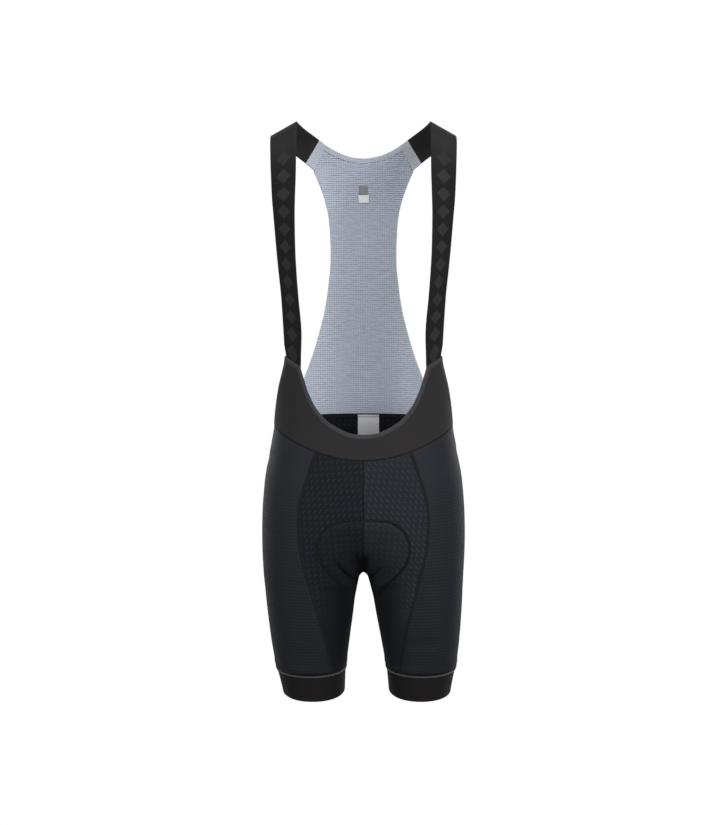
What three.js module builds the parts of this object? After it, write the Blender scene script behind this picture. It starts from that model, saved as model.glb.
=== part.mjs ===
import * as THREE from 'three';

// Cycling bib shorts, kept in the filled-out form that they have when worn. Millimetres.
// +Z is up, the front faces -Y, +X is the wearer's left. z = 0 is where the shoulders carry the straps.

const CLOTH = 1.2;
const BINDING = 2;
const BINDING_WIDTH = 7.4;
const STRAP = 1.6;
const GRIPPER = 1.6;
const LABEL = 0.8;
const SEAM = 0.15;
const LAY = 0.3;
const PAD_LAY = 2.1;
const STRAP_JOINT = 0.6;
const WAIST = -492;
const FRONT_DROP = 45.6;
const DROP_FADE = 150;
const CROTCH = -737;
const GRIP = -893;
const HEM = -934;
const HEM_DIP = 4;
const ROUNDNESS = 2.15;
const SWAY = 5.5;
const RAYS = 120;

// Horizontal sections of the wearer's form: outer half width, inner edge of the leg, depth to the front and
// to the back, and how softly the two thighs run together. The inner edge is negative while they overlap.
const body = [
  { z: 0, half: 150, inner: -150, front: 70, back: 66, blend: 0 },
  { z: -25, half: 150, inner: -150, front: 75, back: 70, blend: 0 },
  { z: -64, half: 150, inner: -150, front: 84, back: 80, blend: 0 },
  { z: -120, half: 150, inner: -150, front: 92, back: 90, blend: 0 },
  { z: -200, half: 149, inner: -149, front: 96, back: 98, blend: 0 },
  { z: -300, half: 145, inner: -145, front: 97, back: 101, blend: 0 },
  { z: -376, half: 141.5, inner: -141.5, front: 96, back: 100, blend: 0 },
  { z: -430, half: 144, inner: -144, front: 96, back: 98, blend: 0 },
  { z: -492, half: 146, inner: -146, front: 97, back: 95, blend: 0.01 },
  { z: -521, half: 151, inner: -145, front: 99, back: 101, blend: 0.05 },
  { z: -548, half: 156, inner: -138, front: 101, back: 108, blend: 0.1 },
  { z: -574, half: 161, inner: -127, front: 102.5, back: 115, blend: 0.15 },
  { z: -601, half: 164, inner: -112, front: 103.5, back: 121, blend: 0.2 },
  { z: -627, half: 166, inner: -94, front: 103.5, back: 126, blend: 0.25 },
  { z: -653, half: 167, inner: -72, front: 102.5, back: 129, blend: 0.3 },
  { z: -680, half: 167.2, inner: -45, front: 100, back: 129, blend: 0.33 },
  { z: -700, half: 166.8, inner: -22, front: 97.5, back: 127, blend: 0.33 },
  { z: -718, half: 166, inner: -5, front: 95, back: 123, blend: 0.31 },
  { z: -730, half: 165.4, inner: 3.4, front: 93.4, back: 120, blend: 0.3 },
  { z: CROTCH, half: 165, inner: 5.98, front: 92.3, back: 117.4, blend: 0.3 },
  { z: -742, half: 164.7, inner: 7.7, front: 91.8, back: 115.6, blend: 0.3 },
  { z: -752, half: 164, inner: 9.4, front: 91, back: 112, blend: 0.3 },
  { z: -765, half: 163, inner: 11.9, front: 90, back: 107, blend: 0.28 },
  { z: -779, half: 162.2, inner: 15, front: 88.5, back: 102, blend: 0.25 },
  { z: -806, half: 160, inner: 19, front: 86, back: 94, blend: 0.25 },
  { z: -838, half: 157, inner: 24.2, front: 81, back: 86, blend: 0.22 },
  { z: -852, half: 155.5, inner: 26.4, front: 79, back: 82, blend: 0.2 },
  { z: -887, half: 150.5, inner: 31.8, front: 72.5, back: 74, blend: 0.2 },
  { z: GRIP, half: 149.5, inner: 32.6, front: 71.5, back: 73, blend: 0.2 },
  { z: -900, half: 147, inner: 34, front: 70, back: 71, blend: 0.2 },
  { z: -915, half: 143.5, inner: 35.2, front: 67.5, back: 68, blend: 0.2 },
  { z: HEM, half: 139.5, inner: 36.3, front: 64.5, back: 65, blend: 0.2 },
];

// The seams down the front and the back of each thigh, by how far out they lie.
const frontSeam = [
  { z: -522, x: 73.5 },
  { z: -573, x: 91.3 },
  { z: -618, x: 102.4 },
  { z: -673, x: 101.5 },
  { z: -710, x: 94.5 },
  { z: -741, x: 86.5 },
  { z: -781, x: 76.5 },
  { z: -826, x: 65.5 },
  { z: -868, x: 57.5 },
  { z: GRIP, x: 53.5 },
];
const backSeam = [
  { z: WAIST, x: 78 },
  { z: -560, x: 92 },
  { z: -640, x: 104 },
  { z: -700, x: 103 },
  { z: -741, x: 95 },
  { z: -781, x: 82 },
  { z: -826, x: 70 },
  { z: -868, x: 61 },
  { z: GRIP, x: 57 },
];

// Heights of the rows of points on the shorts, closer together where the thighs part.
const torsoLevels = [WAIST, -512, -535, -560, -585, -610, -635, -658, -678, -695, -708, -718, -726, -732.5];
const legLevels = [CROTCH + 0.6, CROTCH - 0.6, -741, -747, -757, -770, -788, -812, -840, -868, GRIP];
const gripperLevels = [GRIP, -900, -912, -924, HEM];

// The deep scoop of the bib and its outer edge, from the side seam up to the strap.
const scoop = [
  { x: 0, z: -497.3 },
  { x: 14, z: -496.2 },
  { x: 28, z: -492.8 },
  { x: 50.3, z: -481.3 },
  { x: 61.3, z: -472.7 },
  { x: 70, z: -462.8 },
  { x: 77.4, z: -453 },
  { x: 83.4, z: -441.5 },
  { x: 88.7, z: -430 },
  { x: 92.8, z: -418 },
  { x: 96.3, z: -407 },
  { x: 99.2, z: -397.8 },
  { x: 101.2, z: -390.5 },
];
const bibSide = [
  { z: -376, around: 0.371 },
  { z: -388, around: 0.376 },
  { z: -402, around: 0.388 },
  { z: -417, around: 0.403 },
  { z: -430, around: 0.418 },
  { z: -447, around: 0.437 },
  { z: -467, around: 0.46 },
  { z: WAIST, around: 0.4995 },
];

// The strap from the bib up the chest, over the shoulder and down to the back: its outer and inner edge.
const strapRows = [
  { outX: 129.2, outY: -45, outZ: -329, inX: 99.6, inY: -71, inZ: -336 },
  { outX: 132.5, outY: -44, outZ: -279, inX: 104, inY: -72, inZ: -284 },
  { outX: 136.5, outY: -44, outZ: -240, inX: 107, inY: -71.5, inZ: -244 },
  { outX: 140, outY: -45, outZ: -202, inX: 109, inY: -71, inZ: -204 },
  { outX: 143.8, outY: -48, outZ: -153, inX: 109.7, inY: -68, inZ: -153 },
  { outX: 146, outY: -50, outZ: -124, inX: 109, inY: -65, inZ: -121 },
  { outX: 147.3, outY: -52, outZ: -90, inX: 107.6, inY: -60, inZ: -83 },
  { outX: 148.3, outY: -50, outZ: -57, inX: 107.2, inY: -54, inZ: -42 },
  { outX: 149.2, outY: -38, outZ: -34, inX: 107.6, inY: -40, inZ: -13 },
  { outX: 149.6, outY: -20, outZ: -24.5, inX: 108, inY: -20, inZ: -1.6 },
  { outX: 149, outY: -2, outZ: -22.5, inX: 108, inY: -2, inZ: 1 },
  { outX: 145, outY: 18, outZ: -26.5, inX: 105, inY: 16, inZ: -2 },
  { outX: 132, outY: 40, outZ: -37, inX: 96.5, inY: 36, inZ: -9 },
  { outX: 114, outY: 54, outZ: -50.5, inX: 85, inY: 50, inZ: -17 },
  { outX: 97, outY: 61.5, outZ: -63.5, inX: 74.2, inY: 60.5, inZ: -24.8 },
];

// The back panel: half width at the height of its side, and how far its middle hangs below that.
const backRows = [
  { z: -42, x: 67, dip: 21 },
  { z: -58, x: 75, dip: 13.5 },
  { z: -75, x: 83.3, dip: 6.5 },
  { z: -86, x: 79.5, dip: 4 },
  { z: -98, x: 74.4, dip: 2 },
  { z: -112, x: 69.3, dip: 0.5 },
  { z: -125, x: 65, dip: 0 },
  { z: -153, x: 59, dip: 0 },
  { z: -194, x: 56.1, dip: 0 },
  { z: -235, x: 56.1, dip: 0 },
  { z: -263, x: 59, dip: 0 },
  { z: -290, x: 62.4, dip: 0 },
  { z: -318, x: 67.5, dip: 0 },
  { z: -345, x: 74.4, dip: 0 },
  { z: -372, x: 82, dip: 0 },
  { z: -400, x: 91.5, dip: 0 },
  { z: -429, x: 103, dip: 0 },
  { z: -450, x: 114, dip: 0 },
  { z: -470, x: 128, dip: 0 },
  { z: -484, x: 140, dip: 0 },
  { z: WAIST, x: 145.6, dip: 0 },
];
const NECK_SIDE = { x: 62.7, z: -33, dip: 21.7 };
const NECK_HEM = 9;

// The seat pad under the body, along its middle from the front to the back: where its middle lies,
// its half width along the cloth, and its thickness.
const padRows = [
  { along: 0, half: 26, thick: 3 },
  { along: 0.06, half: 58, thick: 5 },
  { along: 0.16, half: 74, thick: 7 },
  { along: 0.3, half: 66, thick: 9 },
  { along: 0.42, half: 52, thick: 10 },
  { along: 0.55, half: 56, thick: 11 },
  { along: 0.7, half: 74, thick: 11 },
  { along: 0.85, half: 78, thick: 9 },
  { along: 0.95, half: 60, thick: 6 },
  { along: 1, half: 34, thick: 3 },
];
const PAD_FRONT = -634;
const PAD_BACK = -640;

// A value between the rows of a table, on a smooth curve through them. The rows run up or down by the key.
function read(table, key, value, column) {
  const sign = Math.sign(table[1][key] - table[0][key]);
  let i = 0;
  while (i < table.length - 2 && (value - table[i + 1][key]) * sign > 0) {
    i += 1;
  }
  const row = (k) => table[Math.min(Math.max(k, 0), table.length - 1)];
  const slope = (k) => {
    const after = row(k + 1);
    const before = row(k - 1);
    return (after[column] - before[column]) / (after[key] - before[key]);
  };
  const span = row(i + 1)[key] - row(i)[key];
  const t = Math.min(Math.max((value - row(i)[key]) / span, 0), 1);
  const rise = t * t * (3 - 2 * t);
  const bend = t * (1 - t) * (1 - t) * slope(i) + t * t * (t - 1) * slope(i + 1);
  return row(i)[column] * (1 - rise) + row(i + 1)[column] * rise + span * bend;
}

const sections = new Map();

function section(z) {
  const key = Math.round(z * 1000);
  if (!sections.has(key)) {
    const half = read(body, 'z', z, 'half');
    const inner = read(body, 'z', z, 'inner');
    sections.set(key, {
      mid: (half + inner) / 2,
      wide: (half - inner) / 2,
      front: read(body, 'z', z, 'front'),
      back: read(body, 'z', z, 'back'),
      blend: Math.max(read(body, 'z', z, 'blend'), 0.001),
    });
  }
  return sections.get(key);
}

// Below zero inside the body, above zero outside it.
function field(x, y, z) {
  const s = section(z);
  const deep = (Math.abs(y) / (y < 0 ? s.front : s.back)) ** ROUNDNESS;
  const left = ((Math.abs(x - s.mid) / s.wide) ** ROUNDNESS + deep) ** (1 / ROUNDNESS) - 1;
  const right = ((Math.abs(x + s.mid) / s.wide) ** ROUNDNESS + deep) ** (1 / ROUNDNESS) - 1;
  const near = Math.max(s.blend - Math.abs(left - right), 0);
  return Math.min(left, right) - (near * near) / (4 * s.blend);
}

function outward(p) {
  const h = 0.4;
  return new THREE.Vector3(
    field(p.x + h, p.y, p.z) - field(p.x - h, p.y, p.z),
    field(p.x, p.y + h, p.z) - field(p.x, p.y - h, p.z),
    field(p.x, p.y, p.z + h) - field(p.x, p.y, p.z - h),
  ).normalize();
}

function reach(x, y, dx, dy, z, limit) {
  let low = 0;
  let high = limit;
  for (let k = 0; k < 40; k += 1) {
    const mid = (low + high) / 2;
    if (field(x + dx * mid, y + dy * mid, z) < 0) {
      low = mid;
    } else {
      high = mid;
    }
  }
  return (low + high) / 2;
}

const rings = new Map();

// One half of a section: from the centre front, or the inner thigh, round the side to the centre back.
function ring(z) {
  const key = Math.round(z * 1000);
  if (!rings.has(key)) {
    const mid = section(z).mid;
    let from = -Math.PI;
    let to = Math.PI;
    if (field(0, 0, z) < 0) {
      from = Math.atan2(-reach(0, 0, 0, -1, z, 400), -mid);
      to = Math.atan2(reach(0, 0, 0, 1, z, 400), -mid);
    }
    const points = [];
    const lengths = [0];
    for (let k = 0; k <= RAYS; k += 1) {
      const angle = from + ((to - from) * k) / RAYS;
      const dx = Math.cos(angle);
      const dy = Math.sin(angle);
      const far = reach(mid, 0, dx, dy, z, dx < 0 ? Math.min(400, mid / -dx) : 400);
      points.push(new THREE.Vector3(mid + dx * far, dy * far, z));
      if (k > 0) {
        lengths.push(lengths[k - 1] + points[k].distanceTo(points[k - 1]));
      }
    }
    rings.set(key, { points, lengths, total: lengths[RAYS] });
  }
  return rings.get(key);
}

// The point at a height and a share of the way round from the front to the back.
function onBody(around, z) {
  const { points, lengths, total } = ring(z);
  const goal = Math.min(Math.max(around, 0), 1) * total;
  let k = 1;
  while (k < RAYS && lengths[k] < goal) {
    k += 1;
  }
  const t = (goal - lengths[k - 1]) / Math.max(lengths[k] - lengths[k - 1], 1e-9);
  return points[k - 1].clone().lerp(points[k], t);
}

// The share of the way round at which a section is x wide, on its front or its back.
function aroundAt(x, z, onBack) {
  const { points, lengths, total } = ring(z);
  const step = onBack ? -1 : 1;
  let k = onBack ? RAYS : 0;
  while (points[k + step].x < x && k + 2 * step > 0 && k + 2 * step < RAYS) {
    k += step;
  }
  const t = (x - points[k].x) / (points[k + step].x - points[k].x);
  const share = Math.min(Math.max(t, 0), 1);
  return (lengths[k] + (lengths[k + step] - lengths[k]) * share) / total;
}

// Rows near the waist bend down at the front, where the bib's lower edge hangs lower.
function bentLevel(level, around) {
  const drop = Math.max(Math.cos(Math.PI * around), 0) ** 1.7;
  return level - FRONT_DROP * drop * Math.max(1 - (WAIST - level) / DROP_FADE, 0);
}

function seamAround(table, level, onBack) {
  let z = level;
  let around = 0;
  for (let k = 0; k < 8; k += 1) {
    around = aroundAt(read(table, 'z', z, 'x'), z, onBack);
    z = bentLevel(level, around);
  }
  return around;
}

// Every piece leans a little to one side towards the hems, as the garment hangs.
function placed(p) {
  const t = Math.min(Math.max((p.z - CROTCH) / (HEM - CROTCH), 0), 1);
  return new THREE.Vector3(p.x + SWAY * t, p.y, p.z);
}

// A grid of points with their outward directions becomes a closed wall between two depths below them.
function wall(name, grid, from, to, look, round = false) {
  const rows = grid.length;
  const columns = grid[0].length;
  const positions = [];
  for (const depth of [from, to]) {
    for (let i = 0; i < rows; i += 1) {
      for (let j = 0; j < columns; j += 1) {
        const { p, n } = grid[i][j];
        const below = typeof depth === 'function' ? depth(i, j) : depth;
        placed(p.clone().addScaledVector(n, -below)).toArray(positions, positions.length);
      }
    }
  }
  const at = (side, i, j) => (side * rows + i) * columns + (j % columns);
  const faces = [];
  const quad = (a, b, c, d) => faces.push(a, b, c, a, c, d);
  const spans = round ? columns : columns - 1;
  for (let i = 0; i < rows - 1; i += 1) {
    for (let j = 0; j < spans; j += 1) {
      quad(at(0, i, j), at(0, i, j + 1), at(0, i + 1, j + 1), at(0, i + 1, j));
      quad(at(1, i, j), at(1, i + 1, j), at(1, i + 1, j + 1), at(1, i, j + 1));
    }
  }
  for (let j = 0; j < spans; j += 1) {
    quad(at(0, 0, j), at(1, 0, j), at(1, 0, j + 1), at(0, 0, j + 1));
    quad(at(0, rows - 1, j), at(0, rows - 1, j + 1), at(1, rows - 1, j + 1), at(1, rows - 1, j));
  }
  if (!round) {
    const last = columns - 1;
    for (let i = 0; i < rows - 1; i += 1) {
      quad(at(0, i, 0), at(0, i + 1, 0), at(1, i + 1, 0), at(1, i, 0));
      quad(at(0, i, last), at(1, i, last), at(1, i + 1, last), at(0, i + 1, last));
    }
  }
  return solid(name, positions, faces, look);
}

function solid(name, positions, faces, look) {
  const corner = (k) => new THREE.Vector3().fromArray(positions, faces[k] * 3);
  let volume = 0;
  for (let k = 0; k < faces.length; k += 3) {
    volume += corner(k).dot(corner(k + 1).cross(corner(k + 2)));
  }
  if (volume < 0) {
    faces.reverse();
  }
  const geometry = new THREE.BufferGeometry();
  geometry.setAttribute('position', new THREE.Float32BufferAttribute(positions, 3));
  geometry.setIndex(faces);
  geometry.computeVertexNormals();
  const mesh = new THREE.Mesh(geometry, new THREE.MeshStandardMaterial({ ...look, name }));
  mesh.name = name;
  return mesh;
}

const mirrored = (v) => new THREE.Vector3(-v.x, v.y, v.z);
const mirroredGrid = (grid) => grid.map((row) => row.map(({ p, n }) => ({ p: mirrored(p), n: mirrored(n) })));
const wholeGrid = (grid) => grid.map((row) => [...mirroredGrid([row])[0].slice(1).reverse(), ...row]);

function spread(count, make) {
  return Array.from({ length: count + 1 }, (_, k) => make(k / count));
}

function dressed(p) {
  return { p, n: outward(p) };
}

// Shares of the way round for a panel's columns, between its seams at one level, clear of both by an inset.
function columnsAt(level, stops, counts, inset) {
  const ends = stops.map((stop) => stop(level));
  ends[0] += inset;
  ends[ends.length - 1] -= inset;
  return counts.flatMap((count, k) => {
    const part = spread(count, (t) => ends[k] + (ends[k + 1] - ends[k]) * t);
    return k === 0 ? part : part.slice(1);
  });
}

// A panel of the shorts between two seams, from the waist down to the gripper.
function shortsPanel({ stops, counts }) {
  return [...torsoLevels, ...legLevels].map((level) => {
    const nudge = { [WAIST]: -SEAM, [GRIP]: SEAM }[level] ?? 0;
    return columnsAt(level, stops, counts, SEAM / ring(level).total).map((around) =>
      dressed(onBody(around, bentLevel(level, around) + nudge)));
  });
}

const black = { color: 0x24262b, roughness: 0.8 };
const bibBlack = { color: 0x2d2c2e, roughness: 0.9 };
const grey = { color: 0x959ba7, roughness: 0.85 };
const paleGrey = { color: 0xb9bec8, roughness: 0.85 };
const group = new THREE.Group();

function addPair(name, grid, from, to, look, round = false) {
  group.add(wall(`${name}_left`, grid, from, to, look, round));
  group.add(wall(`${name}_right`, mirroredGrid(grid), from, to, look, round));
}

const centreFront = () => 0;
const frontEdge = (level) => seamAround(frontSeam, level, false);
const flank = () => 0.5;
const backEdge = (level) => seamAround(backSeam, level, true);
const centreBack = () => 1;
const panels = {
  front_panel: { stops: [centreFront, frontEdge], counts: [7] },
  side_panel: { stops: [frontEdge, flank, backEdge], counts: [5, 5] },
  seat_panel: { stops: [backEdge, centreBack], counts: [8] },
};
for (const [name, cut] of Object.entries(panels)) {
  addPair(name, shortsPanel(cut), 0, CLOTH, black);
}

// The wide elastic at each hem is one closed band, a little deeper at the front.
const gripColumns = Object.values(panels).flatMap(({ stops, counts }) =>
  columnsAt(GRIP, stops, counts, 0).slice(0, -1));
const gripper = gripperLevels.map((level) => {
  const z = level === GRIP ? level - SEAM : level;
  const dip = (HEM_DIP * (GRIP - level)) / (GRIP - HEM);
  return gripColumns.map((around) =>
    dressed(onBody(around, z - dip * Math.max(Math.sin(2 * Math.PI * around), 0))));
});
addPair('leg_gripper', gripper, 0, GRIPPER, { color: 0x1c1b1c, roughness: 0.9 }, true);

// The bib is drawn flat, by the distance round from the centre front and the height, then laid on the body.
const flat = (around, z) => new THREE.Vector2(around * ring(z).total, z);
const laid = (q) => dressed(onBody(q.x / ring(q.y).total, q.y));

function along(line, share) {
  const steps = line.slice(1).map((q, k) => q.distanceTo(line[k]));
  let left = steps.reduce((sum, step) => sum + step, 0) * share;
  let k = 0;
  while (k < steps.length - 1 && left > steps[k]) {
    left -= steps[k];
    k += 1;
  }
  return line[k].clone().lerp(line[k + 1], Math.min(left / steps[k], 1));
}

// A line moved sideways to its right by a width, with its corners kept sharp.
function besideLine(line, width) {
  const side = (a, b) => new THREE.Vector2(b.y - a.y, a.x - b.x).normalize();
  return line.map((q, k) => {
    const before = side(line[Math.max(k - 1, 0)], line[Math.max(k, 1)]);
    const after = side(line[Math.min(k, line.length - 2)], line[Math.min(k + 1, line.length - 1)]);
    const middle = before.clone().add(after).normalize();
    return q.clone().addScaledVector(middle, width / Math.max(middle.dot(before), 0.5));
  });
}

const waistShares = [
  ...columnsAt(WAIST, panels.front_panel.stops, [7], 0),
  ...spread(5, (t) => frontEdge(WAIST) + (flank() - frontEdge(WAIST)) * t).slice(1),
];
const waistCount = waistShares.length - 1;
const SIDE_COUNT = 8;
const ACROSS = 4;
const scoopLine = spread(waistCount + SIDE_COUNT, (t) => {
  const row = t * (scoop.length - 1);
  const k = Math.min(Math.floor(row), scoop.length - 2);
  const x = scoop[k].x + (scoop[k + 1].x - scoop[k].x) * (row - k);
  const z = scoop[k].z + (scoop[k + 1].z - scoop[k].z) * (row - k);
  return flat(aroundAt(x, z, false), z);
});
const sideLine = spread(SIDE_COUNT, (t) => {
  const z = bibSide[0].z + (WAIST + SEAM - bibSide[0].z) * t;
  return flat(read(bibSide, 'z', z, 'around'), z);
});
const tipLine = spread(ACROSS, (t) => scoopLine[scoopLine.length - 1].clone().lerp(sideLine[0], t));
const bibEdge = [...scoopLine, ...tipLine.slice(1, -1), ...sideLine];

// The edge drawn in by a width, ended square on the centre front and on the side seam.
function drawnIn(width) {
  const line = besideLine(bibEdge, width);
  line[0].x = 0;
  line[line.length - 1].y = WAIST + SEAM;
  return line;
}

const bindingRows = [bibEdge, drawnIn(BINDING_WIDTH)].map((line) => line.map(laid));
const bindingLook = { color: 0x444448, roughness: 0.9 };
group.add(wall('bib_binding', wholeGrid(bindingRows), -0.4, BINDING - 0.4, bindingLook));

// The bib's panel fills the crescent between the binding and the waist seam, up into both horns.
const panelEdge = drawnIn(BINDING_WIDTH + 2 * SEAM);
const panelScoop = panelEdge.slice(0, scoopLine.length);
const panelSide = panelEdge.slice(-SIDE_COUNT - 1).reverse();
const panelEnd = panelSide[0].x / ring(WAIST).total;
const waistLine = waistShares.map((share) => {
  const around = Math.min(share, panelEnd);
  return flat(around, bentLevel(WAIST, around) + SEAM);
});
const bibOuter = [...waistLine.slice(0, -1), ...panelSide];
const acrossBib = spread(ACROSS, (v) => panelScoop.map((q, k) => laid(q.clone().lerp(bibOuter[k], v))));
group.add(wall('bib_panel', wholeGrid(acrossBib), 0, CLOTH, bibBlack));

// The straps are flat ribbons that turn with the chest and bend over the shoulder.
const tipOuter = laid(sideLine[0]);
const tipInner = laid(scoopLine[scoopLine.length - 1]);
const strapTable = [
  {
    outX: tipOuter.p.x,
    outY: tipOuter.p.y,
    outZ: tipOuter.p.z + 2 * SEAM,
    inX: tipInner.p.x,
    inY: tipInner.p.y,
    inZ: tipInner.p.z + 2 * SEAM,
  },
  ...strapRows,
].map((row, k) => ({ ...row, k }));
const strapEnd = strapTable.length - 1;
const strapEdge = (k, side) => {
  const row = Math.min(Math.max(k, 0), strapEnd);
  return new THREE.Vector3(...['X', 'Y', 'Z'].map((axis) => read(strapTable, 'k', row, side + axis)));
};
const strapMiddle = (k) => strapEdge(k, 'out').lerp(strapEdge(k, 'in'), 0.5);
const strapGrid = spread(32, (t) => {
  const k = t * strapEnd;
  const outer = strapEdge(k, 'out');
  const inner = strapEdge(k, 'in');
  const way = strapMiddle(k + 0.05).sub(strapMiddle(k - 0.05));
  const n = outer.clone().sub(inner).cross(way).normalize();
  return spread(2, (v) => ({ p: inner.clone().lerp(outer, v), n }));
});
addPair('strap', strapGrid, 0, STRAP, { color: 0x29292a, roughness: 0.85 });

// The back panel of ribbed mesh, with its doubled neck hem and the doubled bands that take the straps.
function onBack(x, z) {
  return onBody(aroundAt(x, z, true), z);
}

function backRow(sideX, sideZ, dip, columns) {
  return spread(columns, (v) => {
    const z = sideZ - dip * (1 - v * v);
    const around = 1 - (1 - aroundAt(sideX, z, true)) * v;
    return dressed(onBody(around, z));
  });
}

const bandLevels = [-42, -50, -58, -67, -75];
const backLevels = [-86, -98, -112, -130, -153, -180, -215, -250, -280, -310, -340, -370, -400, -429, -452];
const backGrid = [...bandLevels, ...backLevels, -472, -484, WAIST + SEAM].map((z) =>
  backRow(read(backRows, 'z', z, 'x'), z, read(backRows, 'z', z, 'dip'), 9));
group.add(wall('back_panel', wholeGrid(backGrid), 0, CLOTH, grey));

const hemRows = [NECK_HEM - 0.3, 0].map((drop) => {
  const lean = drop / NECK_HEM;
  const x = NECK_SIDE.x + 3.9 * lean;
  return backRow(x, NECK_SIDE.z - drop, NECK_SIDE.dip - 0.7 * lean, 10);
});
group.add(wall('neck_hem', wholeGrid(hemRows), -0.4, CLOTH + 0.4, paleGrey));

const strapLast = [strapEdge(strapEnd, 'in'), strapEdge(strapEnd, 'out')];
const bandInner = [onBack(NECK_SIDE.x, NECK_SIDE.z)];
for (const z of bandLevels) {
  bandInner.push(onBack(read(backRows, 'z', z, 'x'), z));
}
const bandGrid = bandInner.map((a, k) => spread(2, (t) => {
  const b = strapLast[0].clone().lerp(strapLast[1], k / (bandInner.length - 1));
  const width = a.distanceTo(b);
  return dressed(a.clone().lerp(b, (2 * SEAM + (width - 2 * SEAM - STRAP_JOINT) * t) / width));
}));
addPair('strap_joint', bandGrid, -0.2, CLOTH + 0.4, paleGrey);

// The labels lie against the inside of the back.
function label(name, x0, x1, z0, z1, below, look) {
  const grid = spread(5, (v) => spread(4, (t) => {
    const x = x0 + (x1 - x0) * t;
    const z = z0 + (z1 - z0) * v;
    const p = onBack(Math.abs(x), z);
    return dressed(x < 0 ? mirrored(p) : p);
  }));
  group.add(wall(name, grid, below + LAY, below + LAY + LABEL, look));
}

label('neck_label', -7.2, 7.2, -99.5, -114.5, CLOTH, { color: 0x8e9196, roughness: 0.7 });
label('size_label', -8.8, 8.8, -115.5, -128.5, CLOTH, { color: 0xf2f3f4, roughness: 0.7 });
label('waist_label', -9.7, 26.6, -488.5, -536, CLOTH + LAY, { color: 0xb4b4b6, roughness: 0.7 });

// The seat pad lies inside the cloth, from the lower belly through between the thighs to the seat.
function settled(p) {
  const q = p.clone();
  for (let k = 0; k < 6; k += 1) {
    const h = 0.4;
    const slope = new THREE.Vector3(
      field(q.x + h, q.y, q.z) - field(q.x - h, q.y, q.z),
      field(q.x, q.y + h, q.z) - field(q.x, q.y - h, q.z),
      field(q.x, q.y, q.z + h) - field(q.x, q.y, q.z - h),
    ).divideScalar(2 * h);
    q.addScaledVector(slope, -field(q.x, q.y, q.z) / Math.max(slope.lengthSq(), 1e-9));
  }
  return q;
}

// A straight walk over the body from a point, in steps, giving the point reached after each.
function walked(start, heading, step, count) {
  const points = [start.clone()];
  const way = heading.clone();
  for (let k = 0; k < count; k += 1) {
    const here = points[points.length - 1];
    const n = outward(here);
    way.addScaledVector(n, -way.dot(n)).normalize();
    points.push(settled(here.clone().addScaledVector(way, step)));
  }
  return points;
}

const keel = [];
for (const z of [PAD_FRONT, -650, -668, -685, -700, -714, -725, -731, -734.6, -736.4]) {
  keel.push(onBody(0, z));
}
keel.push(new THREE.Vector3(0, 0, CROTCH));
for (const z of [-736.4, -734.6, -731, -725, -714, -700, -685, -668, -652, PAD_BACK]) {
  keel.push(onBody(1, z));
}
const PAD_COLUMNS = 8;
const padShare = [];
const padGrid = spread(26, (t) => {
  padShare.push(t);
  const start = settled(along(keel, t));
  const half = read(padRows, 'along', t, 'half');
  const steps = walked(start, new THREE.Vector3(1, 0, 0), half / (PAD_COLUMNS * 3), PAD_COLUMNS * 3);
  return steps.filter((_, k) => k % 3 === 0).map(dressed);
});
const padDepth = (i, j) => {
  const side = Math.abs(j - PAD_COLUMNS) / PAD_COLUMNS;
  return CLOTH + PAD_LAY + read(padRows, 'along', padShare[i], 'thick') * (1 - 0.75 * side * side);
};
const padLook = { color: 0x33353b, roughness: 0.95 };
group.add(wall('seat_pad', wholeGrid(padGrid), CLOTH + PAD_LAY, padDepth, padLook));

export default group;
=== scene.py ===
"""Cycling bib shorts, kept in the filled-out form that they have when worn.

Lengths are in millimetres until a mesh is made. +Z is up, the front faces -Y and +X is the wearer's left.
z = 0 is where the shoulders carry the straps.
"""

import math

import bmesh
import bpy
import numpy as np
from bpy.props import FloatProperty, FloatVectorProperty, PointerProperty
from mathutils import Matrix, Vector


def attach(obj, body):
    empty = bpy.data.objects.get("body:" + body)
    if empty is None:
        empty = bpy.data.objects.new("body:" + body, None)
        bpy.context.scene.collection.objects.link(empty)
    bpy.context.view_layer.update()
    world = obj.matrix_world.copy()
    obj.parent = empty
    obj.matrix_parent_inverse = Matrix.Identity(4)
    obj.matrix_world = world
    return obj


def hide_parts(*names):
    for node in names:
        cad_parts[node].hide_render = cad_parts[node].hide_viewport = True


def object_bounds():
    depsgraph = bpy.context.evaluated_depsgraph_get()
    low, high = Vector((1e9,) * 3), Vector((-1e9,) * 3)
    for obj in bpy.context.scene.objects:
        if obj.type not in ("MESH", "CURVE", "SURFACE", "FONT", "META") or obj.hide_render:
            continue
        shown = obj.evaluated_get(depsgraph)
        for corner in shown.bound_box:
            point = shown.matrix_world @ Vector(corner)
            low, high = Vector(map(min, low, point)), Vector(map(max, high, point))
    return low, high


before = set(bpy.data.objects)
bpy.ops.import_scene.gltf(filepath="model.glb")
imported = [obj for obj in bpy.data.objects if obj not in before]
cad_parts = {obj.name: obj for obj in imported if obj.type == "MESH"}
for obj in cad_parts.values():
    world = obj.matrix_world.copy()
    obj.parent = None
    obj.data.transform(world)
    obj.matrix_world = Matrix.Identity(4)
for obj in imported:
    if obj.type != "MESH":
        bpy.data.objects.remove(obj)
CAD_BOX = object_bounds()

bl_info = {
    "name": "Cycling bib shorts",
    "version": (1, 0, 0),
    "blender": (4, 5, 0),
    "location": "3D View > Sidebar > Bib shorts",
    "description": "Builds knitted bib shorts with elastic straps and a mesh back",
    "category": "Object",
}

MM = 0.001
SEAM = 0.15
LAY = 0.3
WAIST = -492.0
FRONT_DROP = 45.6
DROP_FADE = 150.0
CROTCH = -737.0
GRIP = -893.0
HEM = -934.0
HEM_DIP = 4.0
ROUNDNESS = 2.15
SWAY = 5.5
BINDING_WIDTH = 7.4
NECK_HEM = 9.0
PAD_LAY = 2.1
TUCKED = 1.4
STRAP_JOINT = 0.6


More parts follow.
